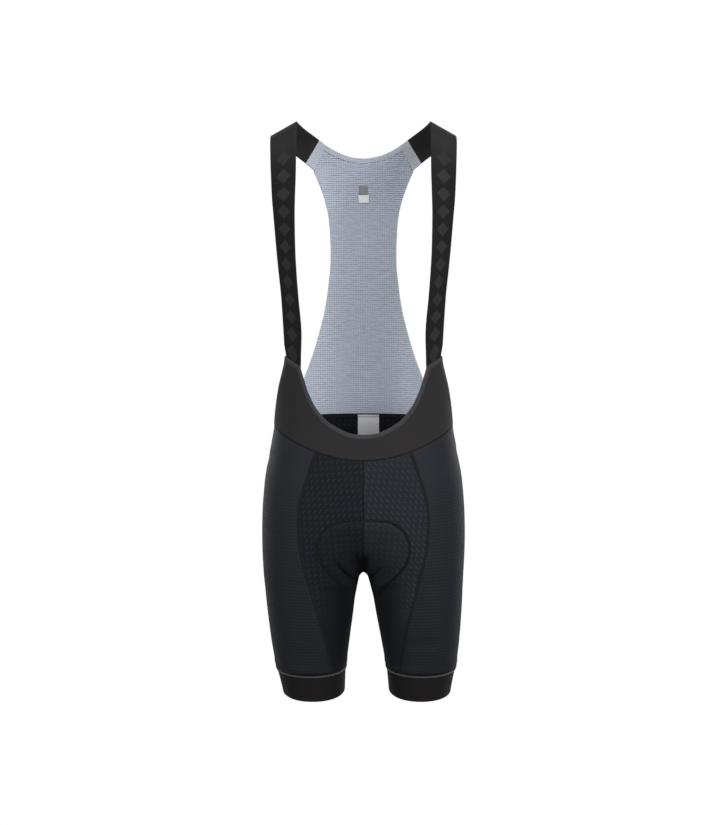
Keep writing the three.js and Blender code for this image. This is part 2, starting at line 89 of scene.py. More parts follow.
def table(names, *rows):
    """A short table with named columns."""
    return {name: np.array(column, float) for name, column in zip(names.split(), zip(*rows))}


# Horizontal sections of the wearer's form: outer half width, inner edge of the leg, depth to the front and
# to the back, and how softly the two thighs run together. The inner edge is negative while they overlap.
FORM = table(
    "z half inner front back blend",
    (0, 150, -150, 70, 66, 0),
    (-25, 150, -150, 75, 70, 0),
    (-64, 150, -150, 84, 80, 0),
    (-120, 150, -150, 92, 90, 0),
    (-200, 149, -149, 96, 98, 0),
    (-300, 145, -145, 97, 101, 0),
    (-376, 141.5, -141.5, 96, 100, 0),
    (-430, 144, -144, 96, 98, 0),
    (WAIST, 146, -146, 97, 95, 0.01),
    (-521, 151, -145, 99, 101, 0.05),
    (-548, 156, -138, 101, 108, 0.1),
    (-574, 161, -127, 102.5, 115, 0.15),
    (-601, 164, -112, 103.5, 121, 0.2),
    (-627, 166, -94, 103.5, 126, 0.25),
    (-653, 167, -72, 102.5, 129, 0.3),
    (-680, 167.2, -45, 100, 129, 0.33),
    (-700, 166.8, -22, 97.5, 127, 0.33),
    (-718, 166, -5, 95, 123, 0.31),
    (-730, 165.4, 3.4, 93.4, 120, 0.3),
    (CROTCH, 165, 5.98, 92.3, 117.4, 0.3),
    (-742, 164.7, 7.7, 91.8, 115.6, 0.3),
    (-752, 164, 9.4, 91, 112, 0.3),
    (-765, 163, 11.9, 90, 107, 0.28),
    (-779, 162.2, 15, 88.5, 102, 0.25),
    (-806, 160, 19, 86, 94, 0.25),
    (-838, 157, 24.2, 81, 86, 0.22),
    (-852, 155.5, 26.4, 79, 82, 0.2),
    (-887, 150.5, 31.8, 72.5, 74, 0.2),
    (GRIP, 149.5, 32.6, 71.5, 73, 0.2),
    (-900, 147, 34, 70, 71, 0.2),
    (-915, 143.5, 35.2, 67.5, 68, 0.2),
    (HEM, 139.5, 36.3, 64.5, 65, 0.2),
)

# The seams down the front and the back of each thigh, by how far out they lie.
FRONT_SEAM = table(
    "z x",
    (-522, 73.5),
    (-573, 91.3),
    (-618, 102.4),
    (-673, 101.5),
    (-710, 94.5),
    (-741, 86.5),
    (-781, 76.5),
    (-826, 65.5),
    (-868, 57.5),
    (GRIP, 53.5),
)
BACK_SEAM = table(
    "z x",
    (WAIST, 78),
    (-560, 92),
    (-640, 104),
    (-700, 103),
    (-741, 95),
    (-781, 82),
    (-826, 70),
    (-868, 61),
    (GRIP, 57),
)

# Heights of the rows of the shorts, closer together where the thighs part.
PANEL_LEVELS = np.array(
    [WAIST, -512, -535, -560, -585, -610, -635, -658, -678, -695, -708, -718, -726, -732.5]
    + [CROTCH + 0.6, CROTCH - 0.6, -741, -747, -757, -770, -788, -812, -840, -868, GRIP]
)

# The deep scoop of the bib and its outer edge, from the side seam up to the strap.
SCOOP = table(
    "k x z",
    (0, 0, -497.3),
    (1, 14, -496.2),
    (2, 28, -492.8),
    (3, 50.3, -481.3),
    (4, 61.3, -472.7),
    (5, 70, -462.8),
    (6, 77.4, -453),
    (7, 83.4, -441.5),
    (8, 88.7, -430),
    (9, 92.8, -418),
    (10, 96.3, -407),
    (11, 99.2, -397.8),
    (12, 101.2, -390.5),
)
BIB_SIDE = table(
    "z around",
    (-376, 0.366),
    (-388, 0.3725),
    (-402, 0.386),
    (-417, 0.4025),
    (-430, 0.418),
    (-447, 0.437),
    (-467, 0.46),
    (WAIST, 0.4995),
)

# The strap from the bib up the chest, over the shoulder and down to the back: its outer and inner edge.
STRAP = table(
    "out_x out_y out_z in_x in_y in_z",
    (129.2, -45, -329, 99.6, -71, -336),
    (132.5, -44, -279, 104, -72, -284),
    (136.5, -44, -240, 107, -71.5, -244),
    (140, -45, -202, 109, -71, -204),
    (143.8, -48, -153, 109.7, -68, -153),
    (146, -50, -124, 109, -65, -121),
    (147.3, -52, -90, 107.6, -60, -83),
    (148.3, -50, -57, 107.2, -54, -42),
    (149.2, -38, -34, 107.6, -40, -13),
    (149.6, -20, -24.5, 108, -20, -1.6),
    (149, -2, -22.5, 108, -2, 1),
    (145, 18, -26.5, 105, 16, -2),
    (132, 40, -37, 96.5, 36, -9),
    (114, 54, -50.5, 85, 50, -17),
    (97, 61.5, -63.5, 74.2, 60.5, -24.8),
)

# The back panel: half width at the height of its side, and how far its middle hangs below that.
BACK = table(
    "z x dip",
    (-42, 67, 21),
    (-58, 75, 13.5),
    (-75, 83.3, 6.5),
    (-86, 79.5, 4),
    (-98, 74.4, 2),
    (-112, 69.3, 0.5),
    (-125, 65, 0),
    (-153, 59, 0),
    (-194, 56.1, 0),
    (-235, 56.1, 0),
    (-263, 59, 0),
    (-290, 62.4, 0),
    (-318, 67.5, 0),
    (-345, 74.4, 0),
    (-372, 82, 0),
    (-400, 91.5, 0),
    (-429, 103, 0),
    (-450, 114, 0),
    (-470, 128, 0),
    (-484, 140, 0),
    (WAIST, 145.6, 0),
)
BAND_LEVELS = np.array([-42.0, -50.0, -58.0, -67.0, -75.0])
NECK_X, NECK_Z, NECK_DIP = 62.7, -33.0, 21.7

# The seat pad, along its middle from the front to the back: its half width along the cloth and its thickness.
PAD = table(
    "along half thick",
    (0, 26, 3),
    (0.06, 58, 5),
    (0.16, 74, 7),
    (0.3, 66, 9),
    (0.42, 52, 10),
    (0.55, 56, 11),
    (0.7, 74, 11),
    (0.85, 78, 9),
    (0.95, 60, 6),
    (1, 34, 3),
)
PAD_FRONT = -634.0
PAD_BACK = -640.0

# Creases and soft swellings, placed one by one: the face, the two ends across and up, how far the middle bows
# to the line's left, how far the cloth moves out, and how wide. A flank's places are read from front to back.
FRONT, REAR, LEFT, RIGHT = range(4)
CREASES = table(
    "face a0 z0 a1 z1 bow out wide",
    (FRONT, -46, -697, -9, -744, -4, -3.0, 2.8),
    (FRONT, -36, -692, -14, -724, -4, 1.1, 5.0),
    (FRONT, -13, -686, -2, -708, -3, -1.6, 2.6),
    (FRONT, 11, -740, 33, -712, 2, -2.0, 3.2),
    (FRONT, 14, -720, 25, -692, 3, 1.2, 4.5),
    (FRONT, -1, -692, 0, -732, 0, -3.4, 6.5),
    (FRONT, 20, -752, 60, -738, -4, -0.6, 6.0),
    (FRONT, -70, -748, -24, -760, 4, -0.7, 6.0),
    (FRONT, 62, -842, 118, -836, 3, -0.5, 8.0),
    (FRONT, -128, -852, -70, -846, -3, -0.5, 7.0),
    (REAR, 16, -733, 96, -724, 8, -2.0, 5.0),
    (REAR, -90, -727, -14, -735, 7, -1.7, 5.5),
    (REAR, 30, -752, 74, -745, 4, -0.9, 4.5),
    (REAR, -68, -747, -26, -757, 4, -1.0, 4.0),
    (REAR, 8, -690, 22, -722, -3, -1.0, 3.5),
    (REAR, -20, -718, -6, -694, -2, -0.9, 3.5),
    (REAR, -74, -519, 20, -513, 3, -0.8, 5.0),
    (REAR, 30, -526, 92, -518, -3, -0.7, 5.0),
    (REAR, -30, -536, 12, -533, 2, -0.5, 4.0),
    (REAR, 58, -846, 122, -838, 5, -1.0, 5.0),
    (REAR, 66, -860, 112, -855, 3, -0.7, 4.0),
    (REAR, -120, -842, -62, -850, 4, -0.9, 5.0),
    (LEFT, -52, -548, 24, -538, 5, -0.6, 6.0),
    (LEFT, -20, -846, 46, -838, 4, -0.7, 5.0),
    (LEFT, -6, -718, 62, -706, 6, -0.6, 7.0),
    (RIGHT, -46, -541, 34, -547, -4, -0.6, 6.0),
    (RIGHT, -8, -851, 50, -842, 3, -0.6, 5.0),
    (RIGHT, 4, -702, 58, -712, -5, -0.6, 7.0),
)

# The stitched outline of the seat pad, from the middle outwards and down, on the front and on the back.
PAD_LINE_FRONT = table(
    "x z",
    (0, -633),
    (22, -634),
    (40, -636.5),
    (54, -643),
    (66, -655),
    (73.3, -673),
    (72.5, -690),
    (66.5, -708),
    (56, -722),
    (42, -738),
    (28, -755),
    (18, -768),
)
PAD_LINE_BACK = table(
    "x z",
    (0, -640),
    (26, -641),
    (48, -647),
    (66, -659),
    (76, -676),
    (74, -697),
    (62, -716),
    (44, -735),
    (28, -753),
    (18, -768),
)


def read(rows, key, value, column):
    """A value between the rows of a table, on a smooth curve through them."""
    keys, values = rows[key], rows[column]
    if keys[1] < keys[0]:
        keys, values = keys[::-1], values[::-1]
    near_keys = np.concatenate((keys[:1], keys, keys[-1:]))
    near = np.concatenate((values[:1], values, values[-1:]))
    slopes = (near[2:] - near[:-2]) / (near_keys[2:] - near_keys[:-2])
    k = np.clip(np.searchsorted(keys, value) - 1, 0, len(keys) - 2)
    span = keys[k + 1] - keys[k]
    t = np.clip((value - keys[k]) / span, 0, 1)
    rise = t * t * (3 - 2 * t)
    bend = t * (1 - t) ** 2 * slopes[k] + t * t * (t - 1) * slopes[k + 1]
    return values[k] * (1 - rise) + values[k + 1] * rise + span * bend


def smooth(t):
    """A soft step from 0 to 1."""
    t = np.clip(t, 0, 1)
    return t * t * (3 - 2 * t)


def section(z):
    """The form's section at a height: middle and half width of a thigh, the depths and the blend."""
    half = read(FORM, "z", z, "half")
    inner = read(FORM, "z", z, "inner")
    blend = np.maximum(read(FORM, "z", z, "blend"), 0.001)
    return (half + inner) / 2, (half - inner) / 2, read(FORM, "z", z, "front"), read(FORM, "z", z, "back"), blend


def field(x, y, cut):
    """Below zero inside the form, above zero outside it."""
    middle, wide, front, back, blend = cut
    deep = (np.abs(y) / np.where(y < 0, front, back)) ** ROUNDNESS
    left = ((np.abs(x - middle) / wide) ** ROUNDNESS + deep) ** (1 / ROUNDNESS) - 1
    right = ((np.abs(x + middle) / wide) ** ROUNDNESS + deep) ** (1 / ROUNDNESS) - 1
    near = np.maximum(blend - np.abs(left - right), 0)
    return np.minimum(left, right) - near * near / (4 * blend)


def slope(points, step=0.4):
    """The field's gradient at some points."""
    x, y, z = points.T
    here, above, below = section(z), section(z + step), section(z - step)
    rise = [
        field(x + step, y, here) - field(x - step, y, here),
        field(x, y + step, here) - field(x, y - step, here),
        field(x, y, above) - field(x, y, below),
    ]
    return np.stack(rise, 1) / (2 * step)


def unit(vectors):
    return vectors / np.maximum(np.linalg.norm(vectors, axis=-1, keepdims=True), 1e-9)


def reach(x, dx, dy, cut, limit):
    """How far the form reaches from a point of its middle plane, along a direction."""
    low = np.zeros(np.broadcast(x, dx, limit).shape)
    high = low + limit
    for _ in range(36):
        middle = (low + high) / 2
        inside = field(x + dx * middle, dy * middle, cut) < 0
        low = np.where(inside, middle, low)
        high = np.where(inside, high, middle)
    return (low + high) / 2


RAYS = 160
SHARES = 201
FAR = 400.0
LEVELS = np.concatenate(
    (
        np.arange(0, -700, -4.0),
        np.arange(-700, -733, -1.0),
        CROTCH + np.array([4, 3, 2, 1.4, 1, 0.6, 0.4, 0.2, 0.1, 0.04]),
        CROTCH - np.array([0.04, 0.1, 0.2, 0.4, 0.6, 1, 1.4, 2, 3, 4]),
        np.arange(-742, -765, -1.0),
        np.arange(-765, HEM, -3.0),
        [HEM],
    )
)


def rings():
    """Half of each section: from the centre front, or the inner thigh, round the side to the centre back."""
    cut = [part[:, None] for part in section(LEVELS)]
    middle = cut[0]
    zero = np.zeros_like(middle)
    joined = field(zero, zero, cut) < 0
    ahead = reach(zero, zero, zero - 1, cut, FAR)
    behind = reach(zero, zero, zero + 1, cut, FAR)
    start = np.where(joined, np.arctan2(-ahead, -middle), -math.pi)
    end = np.where(joined, np.arctan2(behind, -middle), math.pi)
    angle = start + (end - start) * np.linspace(0, 1, RAYS + 1)
    dx, dy = np.cos(angle), np.sin(angle)
    limit = np.where(dx < 0, np.minimum(FAR, middle / np.maximum(-dx, 1e-9)), FAR)
    far = reach(middle, dx, dy, cut, limit)
    outline = np.stack((middle + dx * far, dy * far), 2)
    steps = np.linalg.norm(np.diff(outline, axis=1), axis=2)
    length = np.concatenate((np.zeros((len(LEVELS), 1)), np.cumsum(steps, 1)), 1)
    even = np.empty((len(LEVELS), SHARES, 2))
    for k, total in enumerate(length[:, -1]):
        goal = np.linspace(0, total, SHARES)
        even[k, :, 0] = np.interp(goal, length[k], outline[k, :, 0])
        even[k, :, 1] = np.interp(goal, length[k], outline[k, :, 1])
    return even, length[:, -1]


RING, GIRTH = rings()


def girth(z):
    """The length of half a section, or of a leg's whole one."""
    return np.interp(-np.asarray(z, float), -LEVELS, GIRTH)


def on_form(around, z):
    """The point at a height and a share of the way round from the front to the back."""
    around, z = np.broadcast_arrays(np.asarray(around, float), np.asarray(z, float))
    row = np.interp(-z, -LEVELS, np.arange(len(LEVELS)))
    i = np.minimum(row.astype(int), len(LEVELS) - 2)
    column = np.clip(around, 0, 1) * (SHARES - 1)
    j = np.minimum(column.astype(int), SHARES - 2)
    down, along = (row - i)[..., None], (column - j)[..., None]
    upper = RING[i, j] * (1 - along) + RING[i, j + 1] * along
    lower = RING[i + 1, j] * (1 - along) + RING[i + 1, j + 1] * along
    return np.concatenate((upper * (1 - down) + lower * down, z[..., None]), -1)


def around_at(x, z, back):
    """The share of the way round at which a section is x wide, on its front or its back."""
    x, z = np.broadcast_arrays(np.asarray(x, float), np.asarray(z, float))
    row = np.interp(-z, -LEVELS, np.arange(len(LEVELS)))
    i = np.minimum(row.astype(int), len(LEVELS) - 2)
    down = (row - i)[..., None]
    across = RING[i, :, 0] * (1 - down) + RING[i + 1, :, 0] * down
    across = across[..., ::-1] if back else across
    across = across[..., : SHARES // 2 + 1]
    wide = across >= x[..., None]
    k = np.clip(np.where(wide.any(-1), wide.argmax(-1), SHARES // 2), 1, SHARES // 2)
    before = np.take_along_axis(across, (k - 1)[..., None], -1)[..., 0]
    after = np.take_along_axis(across, k[..., None], -1)[..., 0]
    t = np.clip((x - before) / np.where(after == before, 1, after - before), 0, 1)
    share = (k - 1 + t) / (SHARES - 1)
    return 1 - share if back else share


def bent_level(level, around):
    """Rows near the waist bend down at the front, where the bib's lower edge hangs lower."""
    drop = np.maximum(np.cos(math.pi * around), 0) ** 1.7
    return level - FRONT_DROP * drop * np.maximum(1 - (WAIST - level) / DROP_FADE, 0)


def seam_around(rows, level, back):
    """Where a thigh seam crosses a row of the shorts."""
    levels, where = np.unique(level, return_inverse=True)
    z = levels
    for _ in range(8):
        around = around_at(read(rows, "z", z, "x"), z, back)
        z = bent_level(levels, around)
    return around[where]


def front_edge(level):
    return seam_around(FRONT_SEAM, level, False)


def back_edge(level):
    return seam_around(BACK_SEAM, level, True)


def to_line(spots, rows, mirror=True):
    """The distance of some spots from a line, seen from the front, with the line on both sides of the middle."""
    corners = np.stack((rows["x"], rows["z"]), 1)
    best = np.full(len(spots), 1e9)
    for a, b in zip(corners[:-1], corners[1:]):
        for flip in (1, -1) if mirror else (1,):
            start, way = a * (flip, 1), (b - a) * (flip, 1)
            t = np.clip(((spots - start) @ way) / (way @ way), 0, 1)
            best = np.minimum(best, np.linalg.norm(spots - start - t[:, None] * way, axis=1))
    return best


def within(spots, rows):
    """How much a spot lies inside the pad's outline, from 0 to 1 over a soft edge."""
    half = np.interp(-spots[:, 1], -rows["z"], rows["x"], left=0, right=0)
    bottom = rows["z"][-1]
    inside = smooth((half - np.abs(spots[:, 0])) / 16 + 0.2)
    return inside * smooth((rows["z"][0] - spots[:, 1]) / 14) * smooth((spots[:, 1] - bottom) / 25)


def folds(points, depth=1.0):
    """How far the cloth stands out from the form, at some points of it."""
    x, y, z = points.T
    out = np.zeros(len(points))
    near = {
        FRONT: (x, smooth(-y / 25)),
        REAR: (x, smooth(y / 25)),
        LEFT: (y, smooth(x / 60 - 1)),
        RIGHT: (y, smooth(-x / 60 - 1)),
    }
    for face, a0, z0, a1, z1, bow, height, wide in zip(*CREASES.values()):
        across, weight = near[int(face)]
        way = np.array([a1 - a0, z1 - z0])
        length = np.hypot(*way)
        way /= length
        along = (across - a0) * way[0] + (z - z0) * way[1]
        aside = (across - a0) * -way[1] + (z - z0) * way[0]
        t = along / length
        away = aside - bow * (1 - (2 * t - 1) ** 2)
        ends = smooth(0.15 + 3.5 * t) * smooth(0.15 + 3.5 * (1 - t))
        out += weight * depth * height * ends * (np.exp(-((away / wide) ** 2)) - 0.25 * np.exp(-(((away - 2.2 * wide) / wide) ** 2)))
    spots = np.stack((x, z), 1)
    for face, rows in ((FRONT, PAD_LINE_FRONT), (REAR, PAD_LINE_BACK)):
        weight = near[face][1]
        groove = np.exp(-((to_line(spots, rows) / 1.9) ** 2))
        out += weight * (1.2 * within(spots, rows) - 1.5 * groove)
    peak = smooth((WAIST - 46 - z) / 20) * smooth((z - CROTCH - 20) / 60) * near[FRONT][1]
    out += 1.6 * peak * np.exp(-np.abs(x) / 14)
    legs = smooth((-620 - z) / 40)
    out += legs * (0.9 * np.exp(-(((z - GRIP - 7) / 5) ** 2)) - 0.9 * np.exp(-(((z - GRIP) / 1.8) ** 2)))
    return out


def painted_shade_at(points, out):
    """Painted shade, from 0 to 1, that darkens the cloth's colour: in a crease, between the thighs or over the fork.
    """
    x, y, z = points.T
    front = smooth(-y / 25)
    # Painted shadows on the front over the fork: a dark flat-topped pit in the middle, and softer ones to its right
    # and left.
    pit = np.exp(-((((x - 2) / 19) ** 2 + ((z + 704) / 27) ** 2) ** 2))
    right = np.exp(-(((x - 43) / 21) ** 2) - ((z + 706) / 15) ** 2)
    left = np.exp(-(((x + 18) / 16) ** 2) - ((z + 728) / 16) ** 2)
    # Painted shade on the inner thighs towards the gap between them. The creases' dips are darkened as painted shade
    # too.
    inner = smooth((-716 - z) / 36) * smooth((78 - np.abs(x)) / 48)
    return np.clip(-out / 2.2 + front * (0.8 * pit + 0.5 * right + 0.5 * left) + 0.62 * inner, 0, 1)


def flattened(points):
    """How much the knit's figure is pulled flat, from 0 to 1: down the inner thighs and over the pad."""
    x, y, z = points.T
    spots = np.stack((x, z), 1)
    seam = np.where(y < 0, read(FRONT_SEAM, "z", z, "x"), read(BACK_SEAM, "z", z, "x"))
    thigh = smooth((-722 - z) / 36) * smooth((seam - np.abs(x) - 2) / 26)
    low = smooth((-765 - z) / 40)
    over_pad = np.where(y < 0, within(spots, PAD_LINE_FRONT), within(spots, PAD_LINE_BACK))
    pit = smooth(1.5 - np.hypot(x / 40, (z + 735) / 52))
    return np.clip(np.maximum.reduce((thigh, low * (np.abs(x) < seam), 0.45 * over_pad, pit)), 0, 1)


def hanging(points):
    """Every piece leans a little to one side towards the hems, as the garment hangs."""
    lean = np.clip((points[:, 2] - CROTCH) / (HEM - CROTCH), 0, 1)
    return points + np.stack((SWAY * lean, 0 * lean, 0 * lean), 1)


def fill(mesh, points, normals, cut, painted_shade, pulled):
    """Puts a grid's vertices in place and turns its faces outwards."""
    mesh.vertices.foreach_set("co", (hanging(points) * MM).ravel())
    corner = np.empty(len(mesh.loops), int)
    mesh.loops.foreach_get("vertex_index", corner)
    mesh.uv_layers.new(name="cut").data.foreach_set("uv", (cut[corner] * MM).ravel())
    # The painted shade, and how flat the knit's figure is pulled, kept on the vertices for the materials.
    mesh.attributes.new("painted_shade", "FLOAT", "POINT").data.foreach_set("value", painted_shade)
    mesh.attributes.new("pulled", "FLOAT", "POINT").data.foreach_set("value", pulled)
    mesh.update()
    first = np.empty(len(mesh.polygons), int)
    mesh.polygons.foreach_get("loop_start", first)
    facing = np.empty(len(mesh.polygons) * 3)
    mesh.polygons.foreach_get("normal", facing)
    if (facing.reshape(-1, 3) * normals[corner[first]]).sum() < 0:
        mesh.flip_normals()


def size_of(mesh, across, along):
    """The width, the length and the area of a grid, in metres."""
    spots = np.empty(len(mesh.vertices) * 3)
    mesh.vertices.foreach_get("co", spots)
    order = np.lexsort((across.round(6), along.round(6)))
    rows = len(np.unique(along.round(6)))
    lattice = spots.reshape(-1, 3)[order].reshape(rows, -1, 3)
    wide = np.linalg.norm(np.diff(lattice, axis=1), axis=2).sum(1).max()
    long = np.linalg.norm(np.diff(lattice, axis=0), axis=2).sum(0).max()
    area = np.empty(len(mesh.polygons))
    mesh.polygons.foreach_get("area", area)
    return wide, long, area.sum()


def mould(name, columns, rows, place, thick, lift=0.0, mirror=False, closed=False, depth=1.0):
    """A sheet made from a grid: place gives each spot's point, its normal or None, and its place on the cut."""
    mesh = bpy.data.meshes.new(name)
    bm = bmesh.new()
    bmesh.ops.create_grid(bm, x_segments=columns, y_segments=rows, size=0.5)
    bm.to_mesh(mesh)
    bm.free()
    spots = np.empty(len(mesh.vertices) * 3)
    mesh.vertices.foreach_get("co", spots)
    across, along = (spots.reshape(-1, 3)[:, :2] + 0.5).T
    points, normals, cut = place(across, along)
    if mirror:
        points = points * (-1, 1, 1)
        normals = None if normals is None else normals * (-1, 1, 1)
    if normals is None:
        normals = unit(slope(points))
    out = folds(points, depth) if depth else np.zeros(len(points))
    # Painted shade for the cloth's colour; none on pieces without creases.
    painted_shade = painted_shade_at(points, out) if depth else out
    pulled = flattened(points) if depth else out
    raised = lift(across, along) if callable(lift) else lift
    points = points + normals * (out + raised)[:, None]
    fill(mesh, points, normals, cut, painted_shade, pulled)
    sizes = size_of(mesh, across, along)
    if closed:
        bm = bmesh.new()
        bm.from_mesh(mesh)
        bmesh.ops.remove_doubles(bm, verts=bm.verts[:], dist=0.00001)
        bm.to_mesh(mesh)
        bm.free()
    mesh.shade_smooth()
    piece = bpy.data.objects.new(name, mesh)
    bpy.context.scene.collection.objects.link(piece)
    if thick:
        wall = piece.modifiers.new("thickness", "SOLIDIFY")
        wall.thickness = thick * MM
        wall.offset = -1
    return piece, sizes


def carry(piece, material, slot, *nodes):
    """Gives a piece its material and its body, and hides the solids that it stands for."""
    piece.data.materials.append(material)
    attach(piece, "root")
    if nodes:
        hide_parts(*nodes)
    return piece


def as_cloth(sizes):
    """Clamps the width, length and area of a sheet's cut; nothing is done with them."""
    wide, long, area = sizes
    wide, long = max(wide, 0.0101), max(long, 0.0101)
    area = min(max(area, 0.301 * wide * long), wide * long)


def thread(name, points, radius, material, slot, cyclic=False):
    """A sewing thread along some points."""
    curve = bpy.data.curves.new(name, "CURVE")
    curve.dimensions = "3D"
    curve.bevel_depth = radius * MM
    curve.bevel_resolution = 1
    line = curve.splines.new("POLY")
    line.points.add(len(points) - 1)
    spots = hanging(points) * MM
    line.points.foreach_set("co", np.concatenate((spots, np.ones((len(spots), 1))), 1).ravel())
    line.use_cyclic_u = cyclic
    piece = bpy.data.objects.new(name, curve)
    bpy.context.scene.collection.objects.link(piece)
    return carry(piece, material, slot)


def add(tree, kind, given=(), **settings):
    """Adds one shader node, with its settings and what its sockets are given: a value or another node."""
    node = tree.nodes.new("ShaderNode" + kind)
    for name, value in settings.items():
        setattr(node, name, value)
    for socket, source in dict(given).items():
        if isinstance(source, bpy.types.Node):
            tree.links.new(source.outputs[0], node.inputs[socket])
        elif isinstance(source, bpy.types.NodeSocket):
            tree.links.new(source, node.inputs[socket])
        else:
            node.inputs[socket].default_value = source
    return node


def linear(colour):
    """An sRGB hex colour as linear red, green and blue."""
    parts = [int(colour[k : k + 2], 16) / 255 for k in (1, 3, 5)]
    return tuple(c / 12.92 if c <= 0.04045 else ((c + 0.055) / 1.055) ** 2.4 for c in parts)


def scales(tree, cut):
    """Raised crescents of the knit, 9.4 mm apart both ways, each on the left and lower side of its square."""
    grid = add(tree, "Mapping", {"Vector": cut, "Rotation": (0, 0, 0.09), "Scale": (106, 106, 1)})
    part = add(tree, "VectorMath", {0: grid}, operation="FRACTION")
    spot = add(tree, "VectorMath", {0: part, 1: (0.5, 0.5, 0)}, operation="SUBTRACT")
    far = add(tree, "VectorMath", {0: spot}, operation="LENGTH")
    off = add(tree, "Math", {0: far.outputs["Value"], 1: 0.37}, operation="SUBTRACT")
    away = add(tree, "Math", {0: off}, operation="ABSOLUTE")
    line = add(tree, "MapRange", {0: away, 1: 0.03, 2: 0.19, 3: 1, 4: 0}, interpolation_type="SMOOTHSTEP")
    lean = add(tree, "VectorMath", {0: spot, 1: (-1, -1, 0)}, operation="DOT_PRODUCT")
    side = add(tree, "MapRange", {0: lean.outputs["Value"], 1: 0.1, 2: 0.4}, interpolation_type="SMOOTHSTEP")
    return add(tree, "Math", {0: line, 1: side}, operation="MULTIPLY")


def turned_scales(tree, cut):
    """The same crescents on the panel that is cut the other way up."""
    turned = add(tree, "VectorMath", {0: cut, "Scale": -1.0}, operation="SCALE")
    return scales(tree, turned)


def dots(tree, cut):
    """A square grid of soft knitted dots, 5.2 mm apart, which turns to fine upright ribs at the hip."""
    grid = add(tree, "Mapping", {"Vector": cut, "Scale": (192, 192, 1)})
    part = add(tree, "VectorMath", {0: grid}, operation="FRACTION")
    spot = add(tree, "VectorMath", {0: part, 1: (0.5, 0.5, 0)}, operation="SUBTRACT")
    far = add(tree, "VectorMath", {0: spot}, operation="LENGTH")
    dot = add(tree, "MapRange", {0: far.outputs["Value"], 1: 0.1, 2: 0.46, 3: 1, 4: 0},
              interpolation_type="SMOOTHSTEP")
    parts = add(tree, "SeparateXYZ", {0: cut})
    slant = add(tree, "Math", {0: parts.outputs[1], 1: 0.18, 2: parts.outputs[0]}, operation="MULTIPLY_ADD")
    phase = add(tree, "Math", {0: slant, 1: 2 * math.pi / 0.0046}, operation="MULTIPLY")
    wave = add(tree, "Math", {0: phase}, operation="SINE")
    rib = add(tree, "Math", {0: wave, 1: 0.3, 2: 0.5}, operation="MULTIPLY_ADD")
    hip = add(tree, "MapRange", {0: parts.outputs[1], 1: -0.61, 2: -0.56}, interpolation_type="SMOOTHSTEP")
    return add(tree, "Mix", {0: hip, 2: dot, 3: rib})


def wales(tree, cut):
    """Fine upright ribs, 1.6 mm apart: twice their real spacing, so that they show."""
    parts = add(tree, "SeparateXYZ", {0: cut})
    phase = add(tree, "Math", {0: parts.outputs[0], 1: 2 * math.pi / 0.0016}, operation="MULTIPLY")
    wave = add(tree, "Math", {0: phase}, operation="SINE")
    return add(tree, "Math", {0: wave, 1: 0.5, 2: 0.5}, operation="MULTIPLY_ADD")


def ribs(tree, cut):
    """Ribs across the elastic, 2.2 mm apart."""
    parts = add(tree, "SeparateXYZ", {0: cut})
    phase = add(tree, "Math", {0: parts.outputs[1], 1: 2 * math.pi / 0.0022}, operation="MULTIPLY")
    wave = add(tree, "Math", {0: phase}, operation="SINE")
    return add(tree, "Math", {0: wave, 1: 0.5, 2: 0.5}, operation="MULTIPLY_ADD")


def mesh_rows(tree, cut):
    """Knitted rows 3.4 mm apart: open dashes between them, in patches, with faint upright lines 4.1 mm apart."""
    parts = add(tree, "SeparateXYZ", {0: cut})
    down = add(tree, "Math", {0: parts.outputs[1], 1: 2 * math.pi / 0.0034}, operation="MULTIPLY")
    row = add(tree, "Math", {0: down}, operation="SINE")
    stretched = add(tree, "Mapping", {"Vector": cut, "Scale": (75, 300, 1)})
    noise = add(tree, "TexNoise", {"Vector": stretched, "Scale": 1.0, "Detail": 2.0}, noise_dimensions="2D")
    strong = add(tree, "MapRange", {0: noise, 1: 0.42, 2: 0.62, 3: 0.15, 4: 0.8})
    line = add(tree, "Math", {0: row, 1: strong, 2: 0.55}, operation="MULTIPLY_ADD")
    across = add(tree, "Math", {0: parts.outputs[0], 1: 2 * math.pi / 0.0041}, operation="MULTIPLY")
    upright = add(tree, "Math", {0: across}, operation="SINE")
    return add(tree, "Math", {0: upright, 1: 0.14, 2: line}, operation="MULTIPLY_ADD")


def lozenges(tree, cut):
    """A plain column of lozenges, 27 mm by 25 mm and 28 mm apart, woven into the front of the strap."""
    parts = add(tree, "SeparateXYZ", {0: cut})
    count = add(tree, "Math", {0: parts.outputs[1], 1: 0.028}, operation="DIVIDE")
    place = add(tree, "Math", {0: count}, operation="FRACT")
    middle = add(tree, "Math", {0: place, 1: 0.5}, operation="SUBTRACT")
    tall = add(tree, "Math", {0: middle}, operation="ABSOLUTE")
    wide = add(tree, "Math", {0: parts.outputs[0]}, operation="ABSOLUTE")
    part_out = add(tree, "Math", {0: wide, 1: 74.0}, operation="MULTIPLY")
    out = add(tree, "Math", {0: tall, 1: 2.25, 2: part_out}, operation="MULTIPLY_ADD")
    figure = add(tree, "MapRange", {0: out, 1: 0.84, 2: 1.0, 3: 1, 4: 0}, interpolation_type="SMOOTHSTEP")
    streaks = add(tree, "Mapping", {"Vector": cut, "Scale": (700, 90, 1)})
    noise = add(tree, "TexNoise", {"Vector": streaks, "Scale": 1.0, "Detail": 1.0}, noise_dimensions="2D")
    uneven = add(tree, "MapRange", {0: noise, 1: 0.3, 2: 0.7, 3: 0.55, 4: 1})
    woven = add(tree, "Math", {0: figure, 1: uneven}, operation="MULTIPLY")
    shown = add(tree, "MapRange", {0: parts.outputs[1], 1: 0.35, 2: 0.3})
    return add(tree, "Mix", {0: shown, 2: 0.5, 3: woven})


